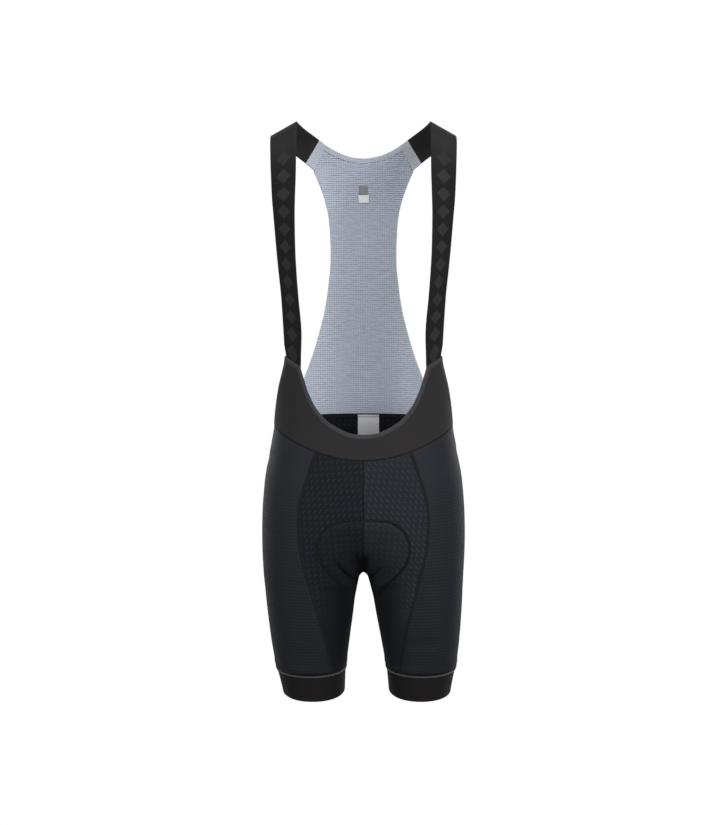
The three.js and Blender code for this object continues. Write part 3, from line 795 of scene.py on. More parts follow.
def cloth(name, colour, contrast, pattern, height, rough=0.85, sheen=0.05, mottle=0.1, specular=0.25):
    """A knitted or woven cloth: a pattern in two shades of a colour, which also lifts the surface by a height."""
    material = bpy.data.materials.new(name)
    material.use_nodes = True
    tree = material.node_tree
    tree.nodes.clear()
    dark = [part * (1 - contrast) for part in colour] + [1]
    pale = [part * (1 + contrast) for part in colour] + [1]
    cut = add(tree, "UVMap", uv_map="cut")
    figure = pattern(tree, cut)
    painted_shade = add(tree, "Attribute", attribute_name="painted_shade")
    pulled = add(tree, "Attribute", attribute_name="pulled")
    even = add(tree, "Math", {0: pulled.outputs["Fac"], 1: -1.0, 2: 1.0}, operation="MULTIPLY_ADD")
    relief = add(tree, "Math", {0: figure, 1: even}, operation="MULTIPLY")
    shades = add(tree, "Mix", {0: relief, 6: dark, 7: pale}, data_type="RGBA")
    grain = add(tree, "TexNoise", {"Vector": cut, "Scale": 900.0, "Detail": 2.0}, noise_dimensions="2D")
    drift = add(tree, "TexNoise", {"Vector": cut, "Scale": 14.0, "Detail": 1.0}, noise_dimensions="2D")
    fine = add(tree, "Math", {0: grain, 1: mottle * 2, 2: 1 - mottle}, operation="MULTIPLY_ADD")
    broad = add(tree, "Math", {0: drift, 1: mottle, 2: 1 - mottle / 2}, operation="MULTIPLY_ADD")
    uneven = add(tree, "Math", {0: fine, 1: broad}, operation="MULTIPLY")
    # Painted shade: the colour is darkened by up to 88 % where the piece holds painted shade, on top of the cloth's
    # own uneven tone.
    shade = add(tree, "Math", {0: painted_shade.outputs["Fac"], 1: -0.88, 2: 1.0}, operation="MULTIPLY_ADD")
    tone = add(tree, "Math", {0: uneven, 1: shade}, operation="MULTIPLY")
    shaded = add(tree, "VectorMath", {0: shades.outputs[2], "Scale": tone}, operation="SCALE")
    raised = add(tree, "Math", {0: grain, 1: 0.25, 2: relief}, operation="MULTIPLY_ADD")
    bump = add(tree, "Bump", {"Height": raised, "Distance": height * MM, "Strength": 1.0})
    shader = add(
        tree,
        "BsdfPrincipled",
        {
            "Base Color": shaded,
            "Roughness": rough,
            "Normal": bump,
            "Sheen Weight": sheen,
            "Sheen Roughness": 0.4,
            "Specular IOR Level": specular,
        },
    )
    add(tree, "OutputMaterial", {0: shader})
    return material


def plain(name, colour, height, rough=0.8, sheen=0.05, specular=0.25):
    """A thread of one colour with a fine uneven grain."""
    material = bpy.data.materials.new(name)
    material.use_nodes = True
    tree = material.node_tree
    tree.nodes.clear()
    place = add(tree, "TexCoord")
    grain = add(tree, "TexNoise", {"Vector": place.outputs["Object"], "Scale": 700.0, "Detail": 2.0})
    tone = add(tree, "Math", {0: grain, 1: 0.5, 2: 0.75}, operation="MULTIPLY_ADD")
    shade = add(tree, "VectorMath", {0: colour, "Scale": tone}, operation="SCALE")
    bump = add(tree, "Bump", {"Height": grain, "Distance": height * MM})
    shader = add(
        tree,
        "BsdfPrincipled",
        {
            "Base Color": shade,
            "Roughness": rough,
            "Normal": bump,
            "Sheen Weight": sheen,
            "Specular IOR Level": specular,
        },
    )
    add(tree, "OutputMaterial", {0: shader})
    return material


def settled(points):
    """Points brought back onto the form."""
    for _ in range(5):
        rise = slope(points)
        x, y, z = points.T
        off = field(x, y, section(z)) / np.maximum((rise * rise).sum(1), 1e-9)
        points = points - rise * off[:, None]
    return points


def panel(first, last, anchor):
    """Places a panel of the shorts between two seams, from the waist down to the gripper."""

    def place(across, along):
        level = np.interp(along * (len(PANEL_LEVELS) - 1), np.arange(len(PANEL_LEVELS)), PANEL_LEVELS)
        start, stop = first(level), last(level)
        inset = SEAM / girth(level)
        around = start + inset + (stop - start - 2 * inset) * across
        z = bent_level(level, around) + SEAM * (2 * along - 1)
        width = (around - anchor(level)) * girth(z)
        return on_form(around, z), None, np.stack((width, z), 1)

    return place


def at(share):
    return lambda level: np.full(np.shape(level), float(share))


def wide_at(x, back):
    return lambda level: around_at(np.full(np.shape(level), float(x)), level, back)


def seam_tape(edge, width, start=WAIST, stop=GRIP, back=False):
    """Places a narrow strip along a thigh seam."""

    def place(across, along):
        level = start + (stop - start) * along
        around = edge(level) + (across - 0.5) * width / girth(level)
        z = bent_level(level, around)
        return on_form(around, z), None, np.stack(((across - 0.5) * width, z), 1)

    return place


def signed(points, across):
    return points * np.stack((np.sign(across) + (across == 0), np.ones_like(across), np.ones_like(across)), 1)


def middle_tape(width, back):
    """Places a narrow strip along the centre front or the centre back seam, down to where the thighs part."""

    def place(across, along):
        offset = (2 * across - 1) * width / 2
        level = WAIST + (CROTCH + 0.7 - WAIST) * along
        around = np.abs(offset) / girth(level)
        around = 1 - around if back else around
        z = bent_level(level, around)
        return signed(on_form(around, z), offset), None, np.stack((offset, z), 1)

    return place


def pad_tape(rows, width, back):
    """Places a narrow strip along the pad's outline, from one thigh over the middle to the other."""
    line = dict(rows, k=np.arange(len(rows["x"]), dtype=float))

    def drawn(k):
        return np.stack((read(line, "k", k, "x"), read(line, "k", k, "z")), 1)

    def place(across, along):
        turn = 2 * along - 1
        k = np.abs(turn) * (len(rows["x"]) - 1)
        ahead = unit(drawn(k + 0.05) - drawn(np.maximum(k - 0.05, 0)))
        spots = drawn(k) + (across - 0.5)[:, None] * width * np.stack((ahead[:, 1], -ahead[:, 0]), 1)
        around = around_at(np.maximum(spots[:, 0], 0), spots[:, 1], back)
        points = signed(on_form(around, spots[:, 1]), turn)
        return points, None, np.stack(((across - 0.5) * width, turn * 190), 1)

    return place


def waist_tape(width):
    """Places a narrow strip round the waist seam."""

    def place(across, along):
        turn = 2 * across - 1
        around = np.abs(turn)
        z = bent_level(WAIST, around) + (0.5 - along) * width
        points = signed(on_form(around, z), turn)
        return points, None, np.stack((turn * girth(WAIST), (along - 0.5) * width), 1)

    return place


def rounded(low, high):
    """A strip's height across its width, low at its edges."""
    return lambda across, along: low + (high - low) * np.sin(math.pi * np.clip(across, 0, 1)) ** 0.7


def rolled_edge(across, along):
    """The height of the bib's edge across its width: full in the middle."""
    return 0.1 + 0.5 * np.sin(math.pi * np.clip(along, 0, 1)) ** 0.6


SIDE_COUNT = 8
ACROSS = 4


def flat(around, z):
    """A place on the bib's flat drawing: the distance round from the centre front, and the height."""
    return np.stack((around * girth(z), z), -1)


def laid(drawn):
    """A place on the flat drawing, laid on the form."""
    return on_form(drawn[..., 0] / girth(drawn[..., 1]), drawn[..., 1])


def beside(line, width):
    """A line moved sideways to its right by a width, with its corners kept sharp."""
    ahead = np.diff(line, axis=0)
    side = unit(np.stack((ahead[:, 1], -ahead[:, 0]), 1))
    before = np.vstack((side[:1], side))
    middle = unit(before + np.vstack((side, side[-1:])))
    stretch = np.maximum((middle * before).sum(1), 0.5)
    return line + middle * (width / stretch)[:, None]


def through(line, station):
    """A smooth curve through a line's stations."""
    rows = {"k": np.arange(len(line), dtype=float), "a": line[:, 0], "b": line[:, 1]}
    return np.stack((read(rows, "k", station, "a"), read(rows, "k", station, "b")), -1)


def scoop_line(t):
    k = t * (len(SCOOP["k"]) - 1)
    z = read(SCOOP, "k", k, "z")
    return flat(around_at(read(SCOOP, "k", k, "x"), z, False), z)


def bib_lines():
    """The stations of the bib's edge, and of the waist seam under it."""
    front = front_edge(np.array([WAIST]))[0]
    waist = np.concatenate((np.linspace(0, front, 8), np.linspace(front, 0.5, 6)[1:]))
    inner = len(waist) - 1 + SIDE_COUNT
    scoop = scoop_line(np.linspace(0, 1, inner + 1))
    z = np.linspace(BIB_SIDE["z"][0], WAIST + SEAM, SIDE_COUNT + 1)
    side = flat(read(BIB_SIDE, "z", z, "around"), z)
    tip = scoop[-1] + (side[0] - scoop[-1]) * np.linspace(0, 1, ACROSS + 1)[:, None]
    return waist, inner, np.vstack((scoop, tip[1:-1], side))


WAIST_SHARES, SCOOP_COUNT, BIB_EDGE = bib_lines()


def drawn_in(width):
    """The bib's edge drawn in by a width, ended square on the centre front and on the side seam."""
    line = beside(BIB_EDGE, width)
    line[0, 0] = 0
    line[-1, 1] = WAIST + SEAM
    return line


def edge_at(line, station):
    """A place along the bib's edge: smooth along the scoop and the side, with sharp corners at the tip."""
    corner = SCOOP_COUNT + ACROSS
    scoop = through(line[: SCOOP_COUNT + 1], np.clip(station, 0, SCOOP_COUNT))
    tip = through(line[SCOOP_COUNT : corner + 1], np.clip(station - SCOOP_COUNT, 0, ACROSS))
    side = through(line[corner:], np.clip(station - corner, 0, SIDE_COUNT))
    on_scoop, on_tip = (station <= SCOOP_COUNT)[:, None], (station <= corner)[:, None]
    return np.where(on_scoop, scoop, np.where(on_tip, tip, side))


def place_binding(across, along):
    turn = 2 * across - 1
    station = np.abs(turn) * (len(BIB_EDGE) - 1)
    outer, inner = edge_at(BIB_EDGE, station), edge_at(drawn_in(BINDING_WIDTH), station)
    drawn = outer + (inner - outer) * along[:, None]
    return signed(laid(drawn), turn), None, np.stack((turn * 420, along * BINDING_WIDTH), 1)


def place_bib(across, along):
    turn = 2 * across - 1
    station = np.abs(turn) * SCOOP_COUNT
    line = drawn_in(BINDING_WIDTH - TUCKED)
    scoop = through(line[: SCOOP_COUNT + 1], station)
    side = line[: -SIDE_COUNT - 2 : -1]
    stop = side[0, 0] / girth(WAIST)
    seams = len(WAIST_SHARES) - 1
    around = np.minimum(np.interp(station, np.arange(seams + 1), WAIST_SHARES), stop)
    z = bent_level(WAIST, around) + SEAM
    waist = flat(around, z)
    outer = np.where((station <= seams)[:, None], waist, through(side, np.clip(station - seams, 0, SIDE_COUNT)))
    drawn = scoop + (outer - scoop) * along[:, None]
    return signed(laid(drawn), turn), None, drawn * np.stack((np.sign(turn), np.ones_like(turn)), 1)


def strap_rows():
    """The strap's edges, starting from the bib's tip."""
    tip = laid(BIB_EDGE[[SCOOP_COUNT + ACROSS, SCOOP_COUNT]])
    tip[:, 2] += 2 * SEAM
    first = dict(zip(STRAP, tip.ravel()))
    rows = {name: np.concatenate(([first[name]], column)) for name, column in STRAP.items()}
    rows["k"] = np.arange(len(rows["in_x"]), dtype=float)
    return rows


STRAP_ROWS = strap_rows()
STRAP_END = len(STRAP_ROWS["k"]) - 1.0
STRAP_TUCK = 0.012


def strap_edge(k, side):
    k = np.clip(k, 0, STRAP_END)
    return np.stack([read(STRAP_ROWS, "k", k, f"{side}_{axis}") for axis in "xyz"], -1)


def strap_length():
    k = np.linspace(0, STRAP_END, 241)
    middle = (strap_edge(k, "out") + strap_edge(k, "in")) / 2
    return k, np.concatenate(([0], np.cumsum(np.linalg.norm(np.diff(middle, axis=0), axis=1))))


def place_strap(across, along):
    k = along * STRAP_END
    outer, inner = strap_edge(k, "out"), strap_edge(k, "in")
    ahead = (strap_edge(k + 0.05, "out") + strap_edge(k + 0.05, "in")) / 2
    behind = (strap_edge(k - 0.05, "out") + strap_edge(k - 0.05, "in")) / 2
    normals = unit(np.cross(outer - inner, ahead - behind))
    wide = np.linalg.norm(outer - inner, axis=1)
    tucked = smooth(1 - (along - STRAP_TUCK) / STRAP_TUCK)[:, None]
    down = unit(strap_edge(np.array([0.0]), "out") - strap_edge(np.array([0.4]), "out"))
    inner, outer = (edge + tucked * (7 * down - 2.6 * normals) for edge in (inner, outer))
    inner = inner + tucked * 3 * unit(outer - inner)
    stations, lengths = strap_length()
    cut = np.stack(((across - 0.5) * wide, np.interp(k, stations, lengths)), 1)
    return inner + (outer - inner) * across[:, None], normals, cut


def back_row(side_x, side_z, dip, v):
    z = side_z - dip * (1 - v * v)
    around = 1 - (1 - around_at(side_x, z, True)) * v
    return around, z


def place_back(across, along):
    turn = 2 * across - 1
    levels = np.concatenate((BACK["z"][:1] + TUCKED, BACK["z"][1:-1], [WAIST + SEAM]))
    level = np.interp(along * (len(levels) - 1), np.arange(len(levels)), levels)
    side, dip = read(BACK, "z", level, "x"), read(BACK, "z", level, "dip")
    around, z = back_row(side, level, dip, np.abs(turn))
    points = signed(on_form(around, z), turn)
    return points, None, np.stack(((1 - around) * girth(z) * np.sign(turn), z), 1)


def place_neck(across, along):
    turn = 2 * across - 1
    drop = NECK_HEM * along - 0.3 * along
    lean = drop / NECK_HEM
    around, z = back_row(NECK_X + 3.9 * lean, NECK_Z - drop, NECK_DIP - 0.7 * lean, np.abs(turn))
    return signed(on_form(around, z), turn), None, np.stack((turn * 66, drop), 1)


def place_band(across, along):
    k = along * len(BAND_LEVELS)
    levels = np.concatenate(([NECK_Z], BAND_LEVELS))
    z = np.interp(k, np.arange(len(levels)), levels)
    x = np.interp(k, np.arange(len(levels)), np.concatenate(([NECK_X], read(BACK, "z", BAND_LEVELS, "x"))))
    start = on_form(around_at(x, z, True), z)
    last = [strap_edge(np.array([STRAP_END]), side) for side in ("in", "out")]
    stop = last[0] + (last[1] - last[0]) * along[:, None]
    wide = np.linalg.norm(stop - start, axis=1)
    share = ((wide + TUCKED - STRAP_JOINT) * across - TUCKED) / wide
    return start + (stop - start) * share[:, None], None, np.stack((across * 15, along * 44), 1)


def place_tag(x0, x1, z0, z1):
    """Places a flat label on the back, between two sides and two heights."""

    def place(across, along):
        x, z = x0 + (x1 - x0) * across, z0 + (z1 - z0) * along
        points = signed(on_form(around_at(np.abs(x), z, True), z), x)
        return points, None, np.stack((x, z), 1)

    return place


def place_band_round(across, along):
    """Places the wide elastic at a hem."""
    z = GRIP - SEAM + (HEM - GRIP + SEAM) * along
    z = z - HEM_DIP * along * np.maximum(np.sin(2 * math.pi * across), 0)
    return on_form(across, z), None, np.stack((across * girth(GRIP), z), 1)


KEEL_FRONT = np.array([PAD_FRONT, -650, -668, -685, -700, -714, -725, -731, -734.6, -736.4])
KEEL_BACK = np.array([-736.4, -734.6, -731, -725, -714, -700, -685, -668, -652, PAD_BACK])


def place_pad(across, along):
    """Places the seat pad: a walk over the form from each point of its middle line, to both sides."""
    turn = 2 * across - 1
    keel = np.vstack((on_form(0, KEEL_FRONT), [[0, 0, CROTCH]], on_form(1, KEEL_BACK)))
    lengths = np.concatenate(([0], np.cumsum(np.linalg.norm(np.diff(keel, axis=0), axis=1))))
    shares, row = np.unique(along.round(6), return_inverse=True)
    here = settled(np.stack([np.interp(shares * lengths[-1], lengths, keel[:, k]) for k in range(3)], 1))
    steps = 24
    stride = (read(PAD, "along", shares, "half") / steps)[:, None]
    way = np.tile([1.0, 0.0, 0.0], (len(here), 1))
    trail = [here]
    for _ in range(steps):
        normal = unit(slope(here))
        way = unit(way - normal * (way * normal).sum(1)[:, None])
        here = settled(here + way * stride)
        trail.append(here)
    trail = np.stack(trail, 1)
    column = np.abs(turn) * steps
    k = np.minimum(column.astype(int), steps - 1)
    part = (column - k)[:, None]
    points = trail[row, k] * (1 - part) + trail[row, k + 1] * part
    cut = np.stack((turn * read(PAD, "along", along, "half"), along * lengths[-1]), 1)
    return signed(points, turn), None, cut


class BibShortsSizes(bpy.types.PropertyGroup):
    """The thicknesses of the cloths."""

    knit: FloatProperty(name="Knit", description="Thickness of the knitted panels", default=1.2 * MM, unit="LENGTH")
    elastic: FloatProperty(name="Elastic", description="Thickness of the straps and hem bands", default=1.6 * MM,
                           unit="LENGTH")
    binding: FloatProperty(name="Binding", description="Thickness of the bib's edge", default=2.0 * MM, unit="LENGTH")
    creases: FloatProperty(name="Creases", description="Depth of the creases", default=1.0, min=0, max=1.5,
                           subtype="FACTOR")


def colour_property(name, description, colour):
    return FloatVectorProperty(name=name, description=description, default=linear(colour), subtype="COLOR", size=3,
                               min=0, max=1)


class BibShortsColours(bpy.types.PropertyGroup):
    """The colours of the cloths."""

    front: colour_property("Front", "Right front panel and the seat", "#1c1f27")
    # Painted light: the left front's colour is a paler copy of the front's, standing in for the key lamp's light on
    # that side.
    painted_lit_front: colour_property("Left front", "Left front panel, its pile towards the light", "#272a31")
    side: colour_property("Sides", "Side panels", "#1b1d25")
    bib: colour_property("Bib", "Jersey of the bib", "#2a2829")
    binding: colour_property("Binding", "Elastic edge of the bib", "#3d3d41")
    gripper: colour_property("Hem bands", "Wide elastic at the hems", "#171415")
    strap: colour_property("Straps", "Shoulder straps", "#242425")
    mesh: colour_property("Mesh", "Mesh of the back", "#b0b7c5")
    folded: colour_property("Folded mesh", "Neck hem and strap bands", "#bac0cc")
    flatlock: colour_property("Flat seams", "Thread of the flat seams", "#191617")
    thread: colour_property("Hem thread", "Zigzag sewing at the hem bands", "#6c6c70")


class BibShortsStudio(bpy.types.PropertyGroup):
    """The brightness of the studio."""

    key: FloatProperty(name="Key light", description="Power of the main lamp", default=66.0, unit="POWER")
    fill: FloatProperty(name="Fill light", description="Power of the lamp on the other side", default=38.0,
                        unit="POWER")
    rim: FloatProperty(name="Rim light", description="Power of each lamp beside the garment", default=22.0,
                       unit="POWER")
    surround: FloatProperty(name="Surround", description="Brightness of the white studio", default=0.14, min=0)


def finishes(colours):
    """Every finish of the garment, by name."""
    return {
        # Polyamide and elastane warp knit with raised crescents: matt, with a faint paler figure.
        "turned knit": cloth("turned_crescent_polyamide_knit", colours.front, 0.42, turned_scales, 0.4, rough=0.8, sheen=0.02,
                             specular=0.2),
        # The same knit cut the other way up, in a paler colour: painted light, standing in for the key lamp falling
        # on this front panel.
        "scaled knit": cloth("crescent_polyamide_knit", colours.painted_lit_front, 0.32, scales, 0.4, rough=0.8, sheen=0.02, specular=0.2),
        # The same yarn in a flat knit of small dots: an even, finer grain.
        "dotted knit": cloth("dotted_polyamide_knit", colours.side, 0.24, dots, 0.25, rough=0.7, specular=0.3),
        # Brushed elastane jersey: soft and darker grey, with fine upright lines.
        "bib knit": cloth("brushed_elastane_jersey", colours.bib, 0.1, wales, 0.1, rough=0.9, sheen=0.08),
        # Woven elastic tape: stiff ribs along the edge, a shade paler.
        "binding": cloth("woven_elastic_binding", colours.binding, 0.12, ribs, 0.2),
        # Knitted hem elastic without silicone: close ribs, almost black.
        "gripper": cloth("ribbed_hem_elastic", colours.gripper, 0.12, wales, 0.15),
        # Jacquard elastic: a dull ground with a slightly paler woven figure.
        "strap": cloth("jacquard_strap_elastic", colours.strap, 0.6, lozenges, 0.15),
        # Raschel mesh: pale grey rows with small dark openings between them.
        "mesh": cloth("raschel_polyester_mesh", colours.mesh, 0.34, mesh_rows, 0.2, mottle=0.04),
        # The same mesh folded double, so that fewer openings show.
        "folded mesh": cloth("doubled_polyester_mesh", colours.folded, 0.16, mesh_rows, 0.15, mottle=0.05),
        # Satin woven tapes: smooth, with a slight gloss.
        "grey tape": cloth("grey_satin_tape", linear("#8e9196"), 0.06, wales, 0.05, rough=0.55),
        "white tape": cloth("white_satin_tape", linear("#f0f1f2"), 0.04, wales, 0.05, rough=0.55),
        "pale tape": cloth("pale_satin_tape", linear("#f6f6f8"), 0.05, wales, 0.05, rough=0.5),
        # Brushed foam laminate: soft, with a short nap.
        "pad": cloth("brushed_foam_laminate", linear("#33353b"), 0.15, dots, 0.6, rough=0.95, sheen=0.2),
        # Flatlock sewing in bulked polyamide thread: a dull ladder as dark as the cloth.
        "flatlock": cloth("flatlock_polyamide_thread", colours.flatlock, 0.2, ribs, 0.25, mottle=0.3),
        # Narrow cover stitch sunk between two panels: a thin black line.
        "sunk seam": cloth("sunk_polyamide_seam", linear("#0c0c0e"), 0.2, ribs, 0.1, sheen=0),
        # Twill tape over the waist seam: flat and black.
        "black tape": cloth("black_twill_tape", linear("#131315"), 0.2, ribs, 0.1),
        # Polyester sewing threads: smooth and slightly glossy.
        "hem thread": plain("grey_polyester_thread", colours.thread, 0.1, rough=0.6),
        "purple thread": plain("purple_grey_overlock_thread", linear("#8c8498"), 0.2, rough=0.7),
    }


FINISH = {}


def both(name):
    """The two sides of a mirrored piece."""
    return ((f"{name}_left", False), (f"{name}_right", True))


class BIBSHORTS_OT_panels(bpy.types.Operator):
    """Front, side and seat panels of the shorts"""

    bl_idname = "bib_shorts.panels"
    bl_label = "Shorts panels"

    def execute(self, context):
        cloths = context.scene.bib_shorts_sizes
        parts = {
            "front": (panel(at(0), front_edge, wide_at(60, False)), 60, 192, "scaled knit", "dimpled_knit"),
            "side": (panel(front_edge, back_edge, at(0.5)), 60, 130, "dotted knit", "woven_knit"),
            "seat": (panel(back_edge, at(1), wide_at(60, True)), 56, 168, "scaled knit", "dimpled_knit"),
        }
        for part, (place, columns, rows, finish, slot) in parts.items():
            for side, mirror in (("left", False), ("right", True)):
                piece, sizes = mould(f"{part}_cloth_{side}", columns, rows, place, cloths.knit / MM,
                                     mirror=mirror, depth=cloths.creases)
                turned = finish == "scaled knit" and (mirror or part == "seat")
                carry(piece, FINISH["turned knit" if turned else finish], slot, f"{part}_panel_{side}")
                as_cloth(sizes)
        return {"FINISHED"}


class BIBSHORTS_OT_grippers(bpy.types.Operator):
    """Wide elastic bands at the hems, with their zigzag sewing"""

    bl_idname = "bib_shorts.grippers"
    bl_label = "Hem bands"

    def execute(self, context):
        cloths = context.scene.bib_shorts_sizes
        for name, mirror in both("hem_band"):
            piece, sizes = mould(name, 150, 18, place_band_round, cloths.elastic / MM, mirror=mirror, closed=True,
                                 depth=cloths.creases)
            carry(piece, FINISH["gripper"], "gripper_elastic", name.replace("hem_band", "leg_gripper"))
            as_cloth(sizes)
            teeth = 2 * round(girth(GRIP) / 4.0)
            turns = np.arange(teeth) / teeth
            z = GRIP - 2.2 + 1.5 * (1 - 2 * (np.arange(teeth) % 2))
            points = on_form(turns, z)
            points = points + unit(slope(points)) * 0.5
            points = points * (-1, 1, 1) if mirror else points
            thread(name.replace("hem_band", "zigzag"), points, 0.6, FINISH["hem thread"], "gripper_elastic", True)
        return {"FINISHED"}


class BIBSHORTS_OT_bib(bpy.types.Operator):
    """The bib and its elastic edge"""

    bl_idname = "bib_shorts.bib"
    bl_label = "Bib"

    def execute(self, context):
        cloths = context.scene.bib_shorts_sizes
        piece, sizes = mould("bib_cloth", 240, 36, place_bib, cloths.knit / MM, depth=cloths.creases)
        carry(piece, FINISH["bib knit"], "bib_knit", "bib_panel")
        as_cloth(sizes)
        piece, sizes = mould("bib_edge", 420, 8, place_binding, cloths.binding / MM - 0.4, lift=rolled_edge, depth=0)
        carry(piece, FINISH["binding"], "binding", "bib_binding")
        as_cloth(sizes)
        return {"FINISHED"}


class BIBSHORTS_OT_straps(bpy.types.Operator):
    """The two shoulder straps"""

    bl_idname = "bib_shorts.straps"
    bl_label = "Straps"

    def execute(self, context):
        cloths = context.scene.bib_shorts_sizes
        for name, mirror in both("shoulder_strap"):
            piece, sizes = mould(name, 16, 220, place_strap, cloths.elastic / MM, mirror=mirror, depth=0)
            carry(piece, FINISH["strap"], "strap_elastic", name.replace("shoulder_", ""))
            as_cloth(sizes)
        return {"FINISHED"}


class BIBSHORTS_OT_back(bpy.types.Operator):
    """The mesh back, its neck hem and the doubled bands at the straps"""

    bl_idname = "bib_shorts.back"
    bl_label = "Mesh back"

    def execute(self, context):
        cloths = context.scene.bib_shorts_sizes
        knit = cloths.knit / MM
        piece, sizes = mould("mesh_back", 90, 200, place_back, knit, depth=cloths.creases)
        carry(piece, FINISH["mesh"], "back_mesh", "back_panel")
        as_cloth(sizes)
        piece, sizes = mould("neck_fold", 80, 8, place_neck, knit + 0.8, lift=0.4, depth=0)
        carry(piece, FINISH["folded mesh"], "doubled_mesh", "neck_hem")
        as_cloth(sizes)
        for name, mirror in both("strap_band"):
            piece, sizes = mould(name, 12, 24, place_band, knit + 0.6, lift=0.2, mirror=mirror, depth=0)
            carry(piece, FINISH["folded mesh"], "doubled_mesh", name.replace("band", "joint"))
            as_cloth(sizes)
        return {"FINISHED"}


class BIBSHORTS_OT_tags(bpy.types.Operator):
    """The bare labels inside the back"""

    bl_idname = "bib_shorts.tags"
    bl_label = "Labels"

    def execute(self, context):
        knit = context.scene.bib_shorts_sizes.knit / MM
        parts = {
            "neck": (place_tag(-7.2, 7.2, -99.5, -114.5), "grey tape", "grey_label", knit + LAY),
            "size": (place_tag(-8.8, 8.8, -115.5, -128.5), "white tape", "white_label", knit + LAY),
            "waist": (place_tag(-9.7, 26.6, -488.5, -536), "pale tape", "woven_label", knit + 2 * LAY),
        }
        for part, (place, finish, slot, below) in parts.items():
            piece, sizes = mould(f"{part}_tag", 16, 16, place, 0.8, lift=-below, depth=0)
            carry(piece, FINISH[finish], slot, f"{part}_label")
            as_cloth(sizes)
        return {"FINISHED"}


class BIBSHORTS_OT_waist_tape(bpy.types.Operator):
    """The tape inside the back waist, and the overlock over the label's top"""

    bl_idname = "bib_shorts.waist_tape"
    bl_label = "Waist tape"

    def execute(self, context):
        knit = context.scene.bib_shorts_sizes.knit / MM
        piece, _ = mould("waist_tape", 160, 4, place_tag(-137, 137, WAIST + 6, WAIST - 3), 0.5,
                         lift=-(knit + 0.2), depth=0)
        carry(piece, FINISH["black tape"], "woven_knit")
        zigzag = np.arange(29)
        x = -10.2 + 37.3 * zigzag / 28
        z = WAIST + 1.2 + 1.7 * (1 - 2 * (zigzag % 2))
        points = signed(on_form(around_at(np.abs(x), z, True), z), x)
        points = points - unit(slope(points)) * (knit + 2 * LAY + 1.1)
        thread("tag_overlock", points, 0.5, FINISH["purple thread"], "woven_label")
        return {"FINISHED"}


class BIBSHORTS_OT_pad(bpy.types.Operator):
    """The seat pad inside the shorts"""

    bl_idname = "bib_shorts.pad"
    bl_label = "Seat pad"

    def execute(self, context):
        knit = context.scene.bib_shorts_sizes.knit / MM
        piece, _ = mould("seat_pad_foam", 64, 90, place_pad, 0, lift=-(knit + PAD_LAY), depth=0)
        cut = np.empty(len(piece.data.loops) * 2)
        piece.data.uv_layers["cut"].data.foreach_get("uv", cut)
        corner = np.empty(len(piece.data.loops), int)
        piece.data.loops.foreach_get("vertex_index", corner)
        spots = np.empty((len(piece.data.vertices), 2))
        spots[corner] = cut.reshape(-1, 2) / MM
        along = spots[:, 1] / spots[:, 1].max()
        side = np.abs(spots[:, 0]) / read(PAD, "along", along, "half")
        thick = read(PAD, "along", along, "thick") * (1 - 0.75 * side**2)
        group = piece.vertex_groups.new(name="thick")
        for k, share in enumerate(thick / PAD["thick"].max()):
            group.add([k], share, "REPLACE")
        wall = piece.modifiers.new("thickness", "SOLIDIFY")
        wall.thickness = PAD["thick"].max() * MM
        wall.offset = -1
        wall.vertex_group = "thick"
        carry(piece, FINISH["pad"], "pad_foam", "seat_pad")
        return {"FINISHED"}


class BIBSHORTS_OT_seams(bpy.types.Operator):
    """The flat seams of the shorts"""

    bl_idname = "bib_shorts.seams"
    bl_label = "Seams"

    def execute(self, context):
        depth = context.scene.bib_shorts_sizes.creases
        raised = rounded(0.15, 0.6)
        parts = {
            "front_seam": (seam_tape(front_edge, 5.0), 200),
            "back_seam": (seam_tape(back_edge, 5.0), 200),
        }
        for part, (place, rows) in parts.items():
            for name, mirror in both(part):
                piece, _ = mould(name, 6, rows, place, 0.3, lift=raised, mirror=mirror, depth=depth)
                carry(piece, FINISH["flatlock"], "woven_knit")
        for name, rows, back in (("pad_line_front", PAD_LINE_FRONT, False), ("pad_line_back", PAD_LINE_BACK, True)):
            piece, _ = mould(name, 4, 260, pad_tape(rows, 3.8, back), 0.3, lift=0.25, depth=depth)
            carry(piece, FINISH["flatlock"], "dimpled_knit")
        for name, back in (("centre_front_seam", False), ("centre_back_seam", True)):
            piece, _ = mould(name, 6, 150, middle_tape(1.9, back), 0.3, lift=0.15, depth=depth)
            carry(piece, FINISH["sunk seam"], "dimpled_knit")
        piece, _ = mould("waist_seam", 360, 6, waist_tape(2.2), 0.3, lift=0.2, closed=True, depth=depth)
        carry(piece, FINISH["sunk seam"], "bib_knit")
        return {"FINISHED"}


